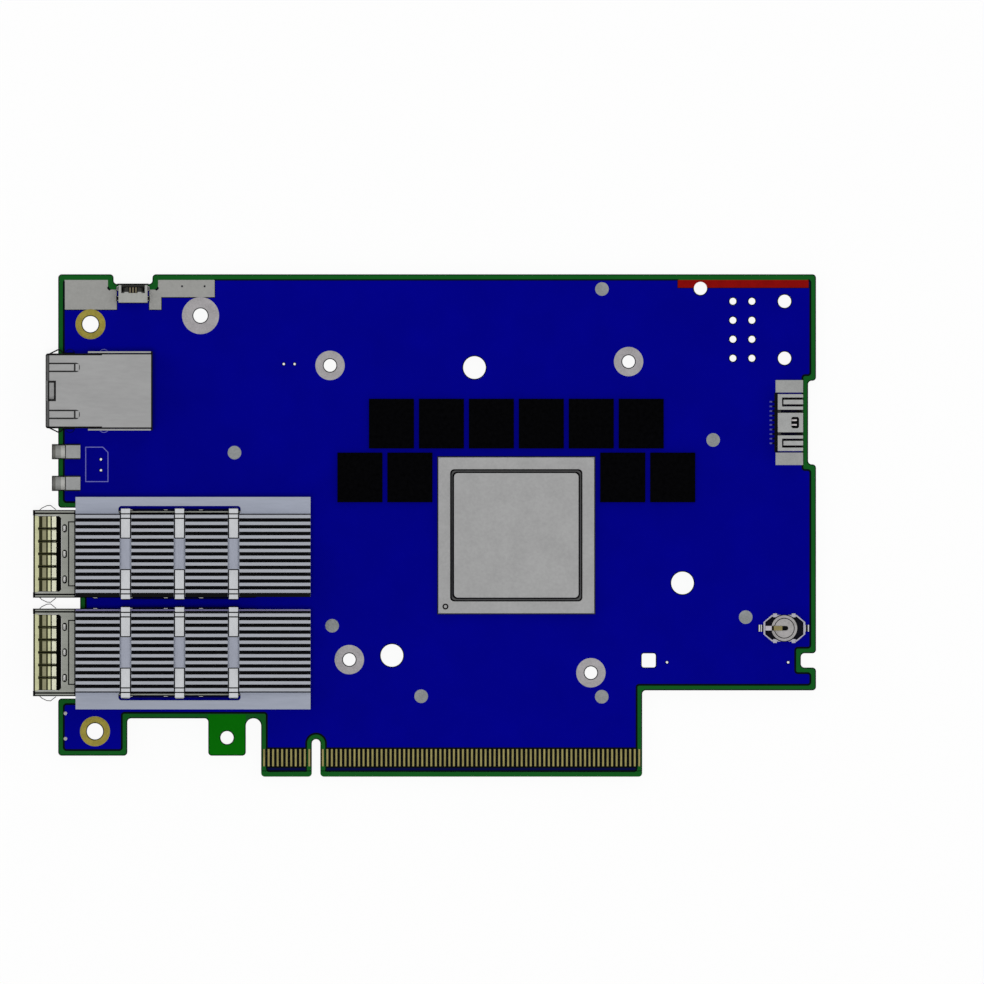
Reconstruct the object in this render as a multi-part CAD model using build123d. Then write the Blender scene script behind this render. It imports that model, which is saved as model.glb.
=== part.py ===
from build123d import *
import os

# A network adapter card for a server slot, lying flat with its component side up.
# Lengths are in millimetres. Plan places are measured from the left and the lowest edge of the
# board, heights from the face of the board that carries the components.

# Board
board_length = 167.65
board_width = 111.15
board_thickness = 1.57
corner_radius = 0.8
mask_thickness = 0.05
mask_margin = 1.25
mask_corner_radius = 0.6
land_thickness = 0.035
land_pullback = 0.2
cutting_margin = 1.0
fit_clearance = 0.05

# Card-edge tongue, its key notch and its contacts
key_x = 57.05
key_width = 1.9
key_depth = 8.3
key_to_tongue_left = 12.15
key_to_tongue_right = 72.15
key_to_contact = 1.5
contact_pitch = 1.0
contact_width = 0.7
contacts_before_key = 11
contacts_after_key = 71
contact_low_y = 2.3
contact_high_y = 6.1
contact_thickness = 0.04
sensing_contact_drop = 1.6
bevel_height = 1.2
bevel_depth = 0.4
tongue_left = key_x - key_to_tongue_left
tongue_right = key_x + key_to_tongue_right

# Lower edge of the board: foot, retention tab and shoulders
shoulder_y = 19.1
band_y = 12.9
foot_width = 15.3
foot_y = 4.65
tab_width = 8.3
tab_slot_width = 3.4
tab_right = tongue_left - tab_slot_width
tab_left = tab_right - tab_width

# Upper and right edges of the board
usb_notch_width = 8.6
usb_notch_depth = 2.15
latch_notch_depth = 3.35
latch_notch_y = 25.725
latch_notch_height = 3.15
socket_recess_depth = 1.75
socket_recess_height = 18.5

# Holes
bracket_hole_radius = 1.8
bracket_ring_radius = 3.32
bracket_hole_upper = (7.14, 100.11)
bracket_hole_lower = (8.14, 10.04)
tab_hole_radius = 1.45
tab_hole_y = 8.64
cooler_circle_radius = 38.25
cooler_hole_radius = 2.5
cooler_first_angle = 104.0
cooler_hole_count = 3
fixing_hole_radius = 1.4
fixing_ring_radius = 3.25
fixing_holes = ((60.14, 90.99), (126.19, 91.84), (64.41, 25.9), (117.85, 23.0))
post_hole_radius = 1.6
post_ring_radius = 4.1
post_hole = (31.49, 102.01)
corner_hole_radius = 1.45
corner_hole_inset = (25.56, 3.11)
power_pin_radius = 0.75
power_peg_radius = 1.45
power_pitch = 4.2
power_columns = 2
power_rows = 4
power_pin_inset = (14.18, 5.97)
power_peg_inset = 6.95
square_hole_size = 3.1
square_hole_radius = 0.5
square_hole = (130.64, 25.73)
round_land_radius = 1.5
round_lands = ((39.0, 71.7), (60.6, 33.4), (80.3, 17.8), (120.25, 17.7))
right_land_insets = ((22.75, 74.5), (15.55, 35.3))
upper_land_inset = (120.3, 3.25)

# Bare tinned lands beside the small socket, red strip and printed outline
land_low_inset = 7.8
land_step_inset = 5.05
land_left = 1.4
land_right = 34.6
land_step_x = 22.8
strip_inset_left = 30.55
strip_inset_right = 1.65
strip_height = 1.7
outline_left = 6.0
outline_right = 11.1
outline_low_y = 65.2
outline_high_y = 73.0
outline_corner = 1.2
print_line = 0.18
print_thickness = 0.02

# Processor package
processor_x = 101.35
processor_y = 53.4
package_size = 35.0
package_thickness = 1.1
ball_height = 0.45
lid_size = 34.4
lid_rim_thickness = 0.6
lid_rise = 1.0
lid_wall_low_size = 29.3
lid_wall_high_size = 27.5
lid_corner_radius = 0.9
mark_radius = 0.55
mark_depth = 0.1
mark_inset = 1.3

# Memory chips
chip_width = 10.0
chip_length = 11.0
chip_thickness = 0.9
chip_ball_height = 0.3
chip_pitch = 11.05
chips_in_row = 6
row_rise = 24.7
side_row_rise = 12.8
side_chip_offset = 23.55
side_chips = 2

# Module ports: two cages side by side
port_pair_y = 38.4
port_pitch = 21.8
cage_front = -5.58
cage_length = 49.3
cage_width = 19.4
cage_height = 9.5
cage_sheet = 0.3
recess_depth = 4.85
recess_clearance = 0.5
nose_window_length = 6.3
nose_window_width = 16.9
nose_window_radius = 1.0
side_window_height = 6.8
vent_length = 1.85
vent_width = 1.0
vent_pitch = 5.65
vent_count = 3
vent_x = 1.44
stop_bar_x = 2.45
stop_bar_length = 1.1
stop_bar_width = 13.9
stop_bar_height = 0.3
tail_count = 5
tail_front_inset = 13.78
tail_rear_inset = 4.32
tail_width = 0.8
tail_proud = 0.6
cage_rear = cage_front + cage_length
port_half = cage_width / 2

# Spring-finger gasket around the nose of a cage
gasket_sheet = 0.16
gasket_band = 0.9
gasket_setback = 0.2
finger_pitch = 2.8
finger_gap = 0.25
roof_fingers = 6
side_fingers = 2
finger_run = (0.85, 2.0, 2.8, 4.0)
finger_rise = (0.8, 1.35, 1.4, 0.45)

# Host connector at the back of a cage
host_length = 7.12
host_width = 17.0
host_height = 7.6
host_gap = 0.3
host_slot_width = 15.8
host_slot_height = 2.2
host_slot_depth = 4.6
host_slot_z = 3.6
host_contact_pitch = 0.8
host_contact_count = 19
host_contact_width = 0.35
host_contact_length = 3.8
host_contact_height = 0.5
host_contact_bow = 1.27

# Riding heat sink
sink_front = 3.83
sink_length = 52.0
sink_inner_reach = 9.55
sink_outer_reach = 12.6
sink_base = 1.4
fin_height = 2.8
fin_pitch = 1.5
fin_thickness = 0.72
fin_count = 12
groove_width = 2.5
groove_pitch = 11.95
groove_count = 3
groove_middle_inset = 16.88
pedestal_length = 31.0
pedestal_width = 15.4
pedestal_depth = 0.9
pedestal_clearance = 0.3
sink_slot_inner = 8.8
sink_slot_outer = 10.6
sink_slot_length = 27.0
sink_slot_radius = 0.7

# Spring clip over a heat sink
clip_sheet = 0.25
strap_width = 2.0
strap_rise = 1.5
strap_flat_half = 3.4
strap_bend_half = 7.9
rail_length = 25.8
rail_low_z = 4.6
rail_high_z = 8.9
rail_window_width = 2.6
rail_window_height = 1.4
rail_window_z = 6.6
hook_width = 1.8
hook_height = 0.9
hook_reach = 0.5

# Network jack
jack_y = 85.35
jack_front = -2.8
jack_length = 23.7
jack_width = 16.6
jack_height = 13.4
jack_sheet = 0.3
jack_bend_radius = 0.55
port_width = 11.8
port_floor_z = 2.4
port_roof_z = 9.0
latch_step_width = 6.2
latch_step_z = 10.5
latch_slot_width = 4.0
latch_slot_z = 11.6
port_depth = 12.4
shield_slot_x = -2.0
shield_slot_length = 6.78
shield_slot_width = 2.1
shield_slot_y = 5.2
shield_finger_width = 1.4
shield_finger_length = 5.4
shield_finger_rise = 0.6
shield_finger_crest = (2.7, 4.3)
shield_slot_end_radius = 0.9
latch_window_width = 4.56
latch_window_length = 2.3
side_spring_width = 3.0
side_spring_length = 3.0
side_spring_bow = ((1.95, 0.95), (2.55, 0.81), (3.0, 0.29))
side_spring_z = 7.0
shield_tab_width = 1.5
shield_tab_xs = (2.6, 10.1)
jack_tail_proud = 0.9
cover_start_x = 6.6
cover_sheet = 0.35
cover_clearance = 0.1
wire_count = 8
wire_pitch = 1.02
wire_width = 0.45
wire_thickness = 0.3
wire_slot_width = 0.62
wire_front_x = 0.7
wire_tip_x = 8.4
wire_tip_z = 5.2
wire_run_z = 1.1
wire_tail_xs = (12.0, 14.5)
jack_half = jack_width / 2
jack_rear = jack_front + jack_length

# Status lights
light_upper_y = 71.9
light_pitch = 7.0
light_width = 3.4
light_height = 3.6
light_front = -1.4
lens_length = 2.9
light_body_length = 3.4
light_chamfer = 0.2
light_lead_size = 0.5
light_lead_pitch = 2.0
light_lead_length = 3.0
light_lead_x = 3.2

# Small USB socket at the upper edge
usb_x = 16.55
usb_width = 6.5
usb_height = 2.6
usb_length = 4.4
usb_sheet = 0.25
usb_flare = 0.2
usb_flare_length = 0.35
usb_bevel = 0.8
usb_bevel_height = 0.9
usb_lip = 0.1
usb_back = 1.1
usb_window_width = 5.2
usb_window_length = 1.45
usb_window_inset = 0.3
usb_spring_width = 0.9
usb_spring_spacing = 2.9
usb_tongue_width = 4.0
usb_tongue_thickness = 0.6
usb_tongue_z = 1.1
usb_tongue_setback = 0.6
usb_contact_count = 5
usb_contact_pitch = 0.65
usb_contact_width = 0.3
usb_contact_thickness = 0.08
usb_tab_width = 0.8
usb_tab_spacing = 2.2
usb_front_y = board_width - usb_notch_depth + usb_lip
usb_rear_y = usb_front_y - usb_length

# Cable socket on the right edge
socket_inset = 2.85
socket_length = 5.6
socket_bracket_length = 6.1
socket_y = 78.35
socket_height = 3.6
socket_end_width = 2.75
socket_end_reach = 9.4
socket_latch_outer = 6.25
socket_latch_inner = 2.85
socket_latch_band = 0.25
socket_latch_arm = 0.7
socket_bar_width = 1.0
socket_bar_gap = 0.3
socket_bridge = 0.2
socket_groove_depth = 0.35
socket_core_width = 4.3
socket_gap = 0.35
socket_floor = 0.7
socket_roof = 0.6
socket_wall = 0.7
socket_window_length = 1.7
socket_window_width = 2.5
socket_window_inset = 0.9
socket_window_radius = 0.45
insert_depth = 0.7
insert_reach = 6.55
insert_height = 2.9
insert_floor = 0.5
insert_setback = 0.3
pin_count = 10
pin_pitch = 1.02
pin_width = 0.35
pin_thickness = 0.2
pin_foot = 0.9
pin_z = 1.9
pin_setback = 1.4

# Coin cell in its holder
cell_inset = 7.0
cell_y = 32.85
cell_radius = 3.0
cell_cap_radius = 2.15
cell_can_height = 1.2
cell_cap_height = 1.6
holder_half_length = 4.62
holder_half_width = 2.95
holder_end_half = 1.35
holder_shoulder = 2.75
holder_wall = 0.4
holder_floor = 0.5
holder_height = 2.4
holder_post_size = 0.85
holder_post_x = 2.06
holder_post_y = 2.84
holder_post_rise = 0.5
arm_width = 1.0
arm_thickness = 0.2
arm_tip_x = 0.35
arm_lift = 0.45
terminal_length = 1.1
terminal_width = 1.5
terminal_thickness = 0.25
terminal_tongue_z = 0.9

# Places that follow from the sizes above
underside_z = -board_thickness
leg_offset = port_half + fit_clearance + clip_sheet / 2
sink_top_z = cage_height + sink_base
tail_first_x = cage_front + tail_front_inset
tail_pitch = (cage_length - tail_front_inset - tail_rear_inset) / (tail_count - 1)
groove_middle_x = cage_rear - groove_middle_inset
host_rear = cage_rear - cage_sheet - host_gap
host_front = host_rear - host_length
recess_half = port_pitch / 2 + port_half + recess_clearance
socket_x = board_length - socket_inset
cell_x = board_length - cell_inset


# Shapes that several pieces use


def block(x_range, y_range, z_range):
    """Rectangular block between two heights and two plan corners."""
    size = [high - low for low, high in (x_range, y_range, z_range)]
    middle = [(high + low) / 2 for low, high in (x_range, y_range, z_range)]
    return Pos(*middle) * Box(*size)


def span(x_range, y_range):
    """Flat rectangle between two plan corners."""
    middle = [(high + low) / 2 for low, high in (x_range, y_range)]
    return Pos(*middle) * Rectangle(x_range[1] - x_range[0], y_range[1] - y_range[0])


def plate(plan, low_z, high_z):
    """Flat outline raised from one height to another."""
    return extrude(Pos(0, 0, low_z) * plan, high_z - low_z)


def across(centre, width):
    """Range of a width about its middle."""
    return (centre - width / 2, centre + width / 2)


def dots(places, radius):
    """Like circles at a list of places."""
    return Sketch() + [Pos(*place) * Circle(radius) for place in places]


def outline_prism(points, plane, length):
    """Closed outline of straight sides, extruded from its plane."""
    return extrude(plane * make_face(Polyline(*points, close=True)), length)


def along_x(points, x_range):
    """Outline given across the card and in height, run along the card."""
    return outline_prism(points, Plane.YZ.offset(x_range[0]), x_range[1] - x_range[0])


def along_y(points, y_range):
    """Outline given along the card and in height, run across the card."""
    return outline_prism(points, Plane.XZ.offset(-y_range[1]), y_range[1] - y_range[0])


def strip_along_x(path, thickness, x_range):
    """Bent sheet whose path is given across the card and in height."""
    section = trace(Polyline(*path), thickness)
    return extrude(Plane.YZ.offset(x_range[0]) * section, x_range[1] - x_range[0])


def strip_along_y(path, thickness, y_range):
    """Bent sheet whose path is given along the card and in height."""
    section = trace(Polyline(*path), thickness)
    return extrude(Plane.XZ.offset(-y_range[1]) * section, y_range[1] - y_range[0])


# Circuit board


def sharp_outline(inset):
    """Plan of the board without its tab, set in by a given amount, before its corners are rounded."""
    middle_y = board_width / 2
    right = board_length - inset
    plan = span((inset, right), (shoulder_y + inset, board_width - inset))
    plan += span((inset, tongue_right - inset), (band_y + inset, middle_y))
    plan += span((inset, foot_width - inset), (foot_y + inset, middle_y))
    plan += span((tongue_left + inset, tongue_right - inset), (inset, middle_y))
    plan -= span((-cutting_margin, recess_depth + inset), across(port_pair_y, 2 * (recess_half + inset)))
    plan -= span(across(usb_x, usb_notch_width + 2 * inset),
                 (board_width - usb_notch_depth - inset, board_width + cutting_margin))
    plan -= span((board_length - latch_notch_depth - inset, board_length + cutting_margin),
                 across(latch_notch_y, latch_notch_height + 2 * inset))
    return plan - span((board_length - socket_recess_depth - inset, board_length + cutting_margin),
                       across(socket_y, socket_recess_height + 2 * inset))


def key_notch(growth):
    """Round-topped notch in the tongue, grown outwards by a given amount."""
    radius = key_width / 2
    stem = span(across(key_x, 2 * (radius + growth)), (-cutting_margin, key_depth - radius))
    return stem + Pos(key_x, key_depth - radius) * Circle(radius + growth)


def board_outline():
    """Plan of the bare board, its corners rounded and the slot beside the tab round at its top."""
    plan = sharp_outline(0) + span((tab_left, tab_right), (foot_y, board_width / 2))
    middle = (tab_right + tongue_left) / 2
    slot_top = plan.vertices().sort_by_distance((middle, band_y))[:2]
    rest = [corner for corner in plan.vertices() if corner not in slot_top]
    plan = fillet(rest, corner_radius)
    slot_top = plan.vertices().sort_by_distance((middle, band_y))[:2]
    plan = fillet(slot_top, tab_slot_width / 2 - fit_clearance) - key_notch(0)
    return fillet(plan.vertices().sort_by_distance((key_x, 0))[:2], corner_radius)


def cooler_hole_places():
    """Large holes on a circle about the processor."""
    ring = PolarLocations(cooler_circle_radius, cooler_hole_count, cooler_first_angle)
    return [(processor_x + spot.position.X, processor_y + spot.position.Y) for spot in ring]


def power_hole_places():
    """Pin holes of the unfitted power plug, near the upper right corner."""
    x0 = board_length - power_pin_inset[0]
    y0 = board_width - power_pin_inset[1]
    return [(x0 - column * power_pitch, y0 - row * power_pitch)
            for column in range(power_columns) for row in range(power_rows)]


def power_peg_places():
    """Peg holes beside the first and the last row of pin holes."""
    x = board_length - power_peg_inset
    y = board_width - power_pin_inset[1]
    return [(x, y), (x, y - (power_rows - 1) * power_pitch)]


def round_holes():
    """Every round hole through the board."""
    corner_hole = (board_length - corner_hole_inset[0], board_width - corner_hole_inset[1])
    holes = dots([bracket_hole_upper, bracket_hole_lower], bracket_hole_radius)
    holes += dots([((tab_left + tab_right) / 2, tab_hole_y)], tab_hole_radius)
    holes += dots(cooler_hole_places(), cooler_hole_radius)
    holes += dots(fixing_holes, fixing_hole_radius)
    holes += dots([post_hole], post_hole_radius)
    holes += dots([corner_hole], corner_hole_radius)
    holes += dots(power_hole_places(), power_pin_radius)
    return holes + dots(power_peg_places(), power_peg_radius)


def tail_xs():
    """Places of the press-in tails along a cage."""
    return [tail_first_x + i * tail_pitch for i in range(tail_count)]


def wire_spots():
    """Tail places of the jack wires, in two staggered rows."""
    middle = (wire_count - 1) / 2
    return [(wire_tail_xs[i % 2], jack_y + (i - middle) * wire_pitch) for i in range(wire_count)]


def light_ys():
    """Middle lines of the two status lights."""
    return (light_upper_y, light_upper_y - light_pitch)


def light_lead_spots():
    """Two leads under each status light."""
    return [(light_lead_x, y + side * light_lead_pitch / 2) for y in light_ys() for side in (-1, 1)]


def shield_tab_spots():
    """Solder tabs of the jack, two on each side."""
    reach = jack_half - jack_sheet / 2
    return [(x, jack_y + side * reach) for x in shield_tab_xs for side in (-1, 1)]


def usb_tab_spots():
    """Solder tabs of the small socket, two on each side."""
    middle = (usb_front_y + usb_rear_y) / 2
    reach = usb_width / 2 + usb_sheet / 2
    return [(usb_x + side * reach, middle + end * usb_tab_spacing / 2)
            for side in (-1, 1) for end in (-1, 1)]


def cut_holes():
    """Every straight-sided hole: for tails, wires, leads and tabs, and the square hole."""
    slack = 2 * fit_clearance
    holes = Pos(*square_hole) * RectangleRounded(square_hole_size, square_hole_size, square_hole_radius)
    for side in (-1, 1):
        for wall in (-1, 1):
            y = port_pair_y + side * port_pitch / 2 + wall * (port_half - cage_sheet / 2)
            for x in tail_xs():
                holes += Pos(x, y) * Rectangle(tail_width + slack, cage_sheet + slack)
    for x, y in wire_spots():
        holes += Pos(x, y) * Rectangle(wire_thickness + slack, wire_width + slack)
    for x, y in light_lead_spots():
        holes += Pos(x, y) * Rectangle(light_lead_size + slack, light_lead_size + slack)
    for x, y in usb_tab_spots():
        holes += Pos(x, y) * Rectangle(usb_sheet + slack, usb_tab_width + slack)
    for x, y in shield_tab_spots():
        holes += Pos(x, y) * Rectangle(shield_tab_width + slack, jack_sheet + slack)
    return holes


def bracket_rings():
    """Bare ring around each bracket hole."""
    places = [bracket_hole_upper, bracket_hole_lower]
    return dots(places, bracket_ring_radius) - dots(places, bracket_hole_radius + land_pullback)


def fixing_rings():
    """Bare ring around each smaller fixing hole."""
    rings = dots(fixing_holes, fixing_ring_radius) + dots([post_hole], post_ring_radius)
    rings -= dots(fixing_holes, fixing_hole_radius + land_pullback)
    return rings - dots([post_hole], post_hole_radius + land_pullback)


def round_land_places():
    """Round lands, some of them placed from the right or the upper edge."""
    places = list(round_lands) + [(board_length - inset, y) for inset, y in right_land_insets]
    return places + [(upper_land_inset[0], board_width - upper_land_inset[1])]


def ground_plan():
    """Bare lands left and right of the small socket, the right one stepped."""
    top_y = board_width - mask_margin
    notch = across(usb_x, usb_notch_width)
    left = span((land_left, usb_x - usb_width / 2 - usb_sheet - fit_clearance * 2),
                (board_width - land_low_inset, top_y))
    right = span((usb_x + usb_width / 2 + usb_sheet + fit_clearance * 2, land_step_x),
                 (board_width - land_low_inset, top_y))
    right += span((land_step_x, land_right), (board_width - land_step_inset, top_y))
    clear = span((notch[0] - mask_margin, notch[1] + mask_margin),
                 (board_width - usb_notch_depth - mask_margin, board_width))
    rings = dots([bracket_hole_upper], bracket_ring_radius) + dots([post_hole], post_ring_radius)
    return (left + right) - clear - rings - cut_holes()


def strip_plan():
    """Red strip along the upper edge, cut away at the hole in it."""
    top_y = board_width - mask_margin
    plan = span((board_length - strip_inset_left, board_length - strip_inset_right),
                (top_y - strip_height, top_y))
    corner_hole = (board_length - corner_hole_inset[0], board_width - corner_hole_inset[1])
    return plan - dots([corner_hole], corner_hole_radius)


def mask_field():
    """Solder-mask field of the component side, set in from every edge and clear of the tab."""
    field = sharp_outline(mask_margin)
    return fillet(field.vertices(), mask_corner_radius) - key_notch(mask_margin)


def circuit_board():
    """Laminated board with its tongue bevelled and a raised mask field on its component side."""
    core = plate(board_outline(), underside_z, -mask_thickness)
    ends = (tongue_left - cutting_margin, tongue_right + cutting_margin)
    for face_z, inward in ((-mask_thickness, -1), (underside_z, 1)):
        bevel = [(0, face_z), (bevel_height, face_z), (0, face_z + inward * bevel_depth)]
        core -= along_x(bevel, ends)
    core += plate(mask_field() - ground_plan() - strip_plan(), -mask_thickness, 0)
    return core - plate(round_holes() + cut_holes(), underside_z, 0)


def edge_contacts(low_z, first_drop):
    """Row of gold contacts on one face of the tongue, the first one shortened by a given amount."""
    before = [key_x - key_to_contact - i * contact_pitch for i in reversed(range(contacts_before_key))]
    after = [key_x + key_to_contact + i * contact_pitch for i in range(contacts_after_key)]
    z_range = (low_z, low_z + contact_thickness)
    first = block(across(before[0], contact_width), (contact_low_y + first_drop, contact_high_y), z_range)
    return [first] + [block(across(x, contact_width), (contact_low_y, contact_high_y), z_range)
                      for x in before[1:] + after]


def printed_outline():
    """Printed outline of a part that is not fitted, with one corner cut."""
    corners = ((outline_left, outline_low_y), (outline_right, outline_low_y),
               (outline_right, outline_high_y - outline_corner),
               (outline_right - outline_corner, outline_high_y), (outline_left, outline_high_y))
    rim = make_face(Polyline(*corners, close=True))
    return plate(rim - offset(rim, -print_line), 0, print_thickness)


# Processor and memory


def processor_substrate():
    """Square laminate that carries the processor, standing on its solder balls."""
    z_range = (ball_height, ball_height + package_thickness)
    return block(across(processor_x, package_size), across(processor_y, package_size), z_range)


def processor_lid():
    """Stamped metal lid: flat rim, drafted wall and raised middle, with a ring mark on the rim."""
    low_z = ball_height + package_thickness
    rim_z = low_z + lid_rim_thickness
    rim = RectangleRounded(lid_size, lid_size, lid_corner_radius)
    foot = RectangleRounded(lid_wall_low_size, lid_wall_low_size, lid_corner_radius)
    crown = RectangleRounded(lid_wall_high_size, lid_wall_high_size, lid_corner_radius)
    lid = plate(rim, low_z, rim_z)
    lid += loft([Pos(0, 0, rim_z) * foot, Pos(0, 0, rim_z + lid_rise) * crown])
    mark = mark_inset - lid_size / 2
    lid -= plate(Pos(mark, mark) * Circle(mark_radius), rim_z - mark_depth, rim_z)
    return Pos(processor_x, processor_y, 0) * lid


def memory_chip_places():
    """One row of chips above the processor and two pairs beside its upper corners."""
    middle = (chips_in_row - 1) / 2
    row = [(processor_x + (i - middle) * chip_pitch, processor_y + row_rise) for i in range(chips_in_row)]
    reach = [side_chip_offset + i * chip_pitch for i in range(side_chips)]
    offsets = [-x for x in reversed(reach)] + reach
    return row + [(processor_x + x, processor_y + side_row_rise) for x in offsets]


def memory_chip(place):
    """Moulded chip, sawn square, standing on its solder balls."""
    x, y = place
    z_range = (chip_ball_height, chip_ball_height + chip_thickness)
    return block(across(x, chip_width), across(y, chip_length), z_range)


# Module ports, drawn about the middle line of one cage with its outer side on the positive side


def cage_shell():
    """Folded sheet shell: roof, two sides and back, with nose windows, vents, hooks and tails."""
    roof_z = cage_height
    shell = block((cage_front, cage_rear), (-port_half, port_half), (0, roof_z))
    shell -= block((cage_front - cutting_margin, cage_rear - cage_sheet),
                   (cage_sheet - port_half, port_half - cage_sheet), (-cutting_margin, roof_z - cage_sheet))
    shell -= plate(nose_window_plan(), roof_z - 2 * cage_sheet, roof_z + cutting_margin)
    window_end = cage_front + nose_window_length
    shell -= block((cage_front + gasket_setback + gasket_band - fit_clearance, window_end),
                   (-port_half - cutting_margin, port_half + cutting_margin),
                   across(roof_z / 2, side_window_height))
    shell -= block(across(groove_middle_x, pedestal_length + 2 * pedestal_clearance),
                   across(0, pedestal_width + 2 * pedestal_clearance),
                   (roof_z - 2 * cage_sheet, roof_z + cutting_margin))
    vents = [Pos(vent_x, (i - (vent_count - 1) / 2) * vent_pitch) for i in range(vent_count)]
    shell -= plate(Sketch() + [spot * SlotOverall(vent_length, vent_width, rotation=90) for spot in vents],
                   roof_z - 2 * cage_sheet, roof_z + cutting_margin)
    shell += block((stop_bar_x, stop_bar_x + stop_bar_length), across(0, stop_bar_width),
                   (roof_z, roof_z + stop_bar_height))
    return shell + cage_tails() + cage_hooks()


def nose_window_plan():
    """Window at the nose of a cage, open to the front and rounded at the back."""
    plan = span((cage_front - cutting_margin, cage_front + nose_window_length), across(0, nose_window_width))
    return fillet(plan.vertices().sort_by(Axis.X)[-2:], nose_window_radius)


def cage_tails():
    """Press-in tails along both lower edges of the shell."""
    tail_tip = underside_z - tail_proud
    walls = ((-port_half, cage_sheet - port_half), (port_half - cage_sheet, port_half))
    return [block(across(x, tail_width), wall, (tail_tip, 0)) for x in tail_xs() for wall in walls]


def strap_xs():
    """Middle lines of the cross grooves and of the straps in them."""
    middle = (groove_count - 1) / 2
    return [groove_middle_x + (i - middle) * groove_pitch for i in range(groove_count)]


def cage_hooks():
    """Ramps pressed out of both side walls, which hold the clip down."""
    low_z = rail_window_z - hook_height / 2
    ramp = [(port_half, low_z), (port_half + hook_reach, low_z), (port_half, low_z + hook_height)]
    mirrored = [(-y, z) for y, z in ramp]
    return [along_x(side, across(x, hook_width)) for x in strap_xs() for side in (ramp, mirrored)]


def cage_base():
    """Flat plate that closes the cage below, from the nose back to the host connector."""
    base = block((cage_front, host_front - host_gap),
                 (cage_sheet - port_half, port_half - cage_sheet), (0, cage_sheet))
    return base - plate(nose_window_plan(), -cutting_margin, cutting_margin)


def gasket_finger(width):
    """One bowed spring finger, rising from the plane of its band."""
    start = cage_front + gasket_setback
    root = start + gasket_band
    path = [(start, 0), (root, 0)] + [(root + run, rise) for run, rise in zip(finger_run, finger_rise)]
    return strip_along_y(path, gasket_sheet, across(0, width))


def cage_gasket():
    """Sprung collar inside the nose, with bowed fingers on all four sides."""
    half = port_half - cage_sheet
    low_z = cage_sheet
    high_z = cage_height - cage_sheet
    x_range = (cage_front + gasket_setback, cage_front + gasket_setback + gasket_band)
    collar = block(x_range, (-half, half), (low_z, high_z))
    collar -= block(x_range, (gasket_sheet - half, half - gasket_sheet),
                    (low_z + gasket_sheet, high_z - gasket_sheet))
    finger = gasket_finger(finger_pitch - finger_gap)
    lift = gasket_sheet / 2
    parts = [collar]
    for i in range(roof_fingers):
        y = (i - (roof_fingers - 1) / 2) * finger_pitch
        parts.append(Pos(0, y, high_z - lift) * finger)
        parts.append(Pos(0, y, low_z + lift) * Rot(180, 0, 0) * finger)
    for i in range(side_fingers):
        z = cage_height / 2 + (i - (side_fingers - 1) / 2) * finger_pitch
        parts.append(Pos(0, half - lift, z) * Rot(-90, 0, 0) * finger)
        parts.append(Pos(0, lift - half, z) * Rot(90, 0, 0) * finger)
    return Part() + parts


def host_housing():
    """Moulded connector block on the board with a slot for the edge of the module's board."""
    housing = block((host_front, host_rear), across(0, host_width), (0, host_height))
    return housing - block((host_front, host_front + host_slot_depth), across(0, host_slot_width),
                           (host_slot_z, host_slot_z + host_slot_height))


def host_contacts():
    """Two facing rows of contacts in the slot, each a bent beam with its bow towards the module."""
    start = host_front + host_slot_depth - host_contact_length
    end = host_front + host_slot_depth
    bow = start + host_contact_bow
    floor = [(start, host_slot_z), (end, host_slot_z), (bow, host_slot_z + host_contact_height)]
    roof = [(x, 2 * host_slot_z + host_slot_height - z) for x, z in floor]
    middle = (host_contact_count - 1) / 2
    rows = [across((i - middle) * host_contact_pitch, host_contact_width) for i in range(host_contact_count)]
    return [along_y(side, row) for row in rows for side in (floor, roof)]


def heat_sink():
    """Extruded heat sink with cross grooves, a slotted flange and a foot that meets the module."""
    x_range = (sink_front, sink_front + sink_length)
    sink = block(x_range, (-sink_inner_reach, sink_outer_reach), (cage_height, sink_top_z))
    middle = (fin_count - 1) / 2
    fins = [block(x_range, across((i - middle) * fin_pitch, fin_thickness),
                  (sink_top_z, sink_top_z + fin_height)) for i in range(fin_count)]
    sink += fins
    sink -= [block(across(x, groove_width), across(0, 2 * sink_outer_reach),
                   (sink_top_z, sink_top_z + fin_height + cutting_margin)) for x in strap_xs()]
    slot = span(across(groove_middle_x, sink_slot_length), (sink_slot_inner, sink_slot_outer))
    sink -= plate(fillet(slot.vertices(), sink_slot_radius), cage_height, sink_top_z)
    return sink + block(across(groove_middle_x, pedestal_length), across(0, pedestal_width),
                        (cage_height - pedestal_depth, cage_height))


def heat_sink_clip():
    """Sprung sheet clip: three sloping straps joined by a rail down each side of the cage."""
    floor_z = sink_top_z + clip_sheet / 2
    top_z = sink_top_z + strap_rise
    half_path = [(leg_offset, rail_high_z - clip_sheet), (leg_offset, top_z), (strap_bend_half, top_z),
                 (strap_flat_half, floor_z)]
    path = half_path + [(-y, z) for y, z in reversed(half_path)]
    straps = [strip_along_x(path, clip_sheet, across(x, strap_width)) for x in strap_xs()]
    rails = [block(across(groove_middle_x, rail_length), across(side * leg_offset, clip_sheet),
                   (rail_low_z, rail_high_z)) for side in (-1, 1)]
    windows = [block(across(x, rail_window_width), across(0, 2 * (leg_offset + clip_sheet)),
                     across(rail_window_z, rail_window_height)) for x in strap_xs()]
    return (Part() + straps + rails) - windows


def at_port(shape, side):
    """A port piece moved to the upper port, or turned over to the lower one."""
    lift = Pos(0, port_pair_y + side * port_pitch / 2, 0)
    pieces = shape if isinstance(shape, list) else [shape]
    return [lift * (piece if side > 0 else mirror(piece, Plane.XZ)) for piece in pieces]


# Network jack, drawn about its own middle line


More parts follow.
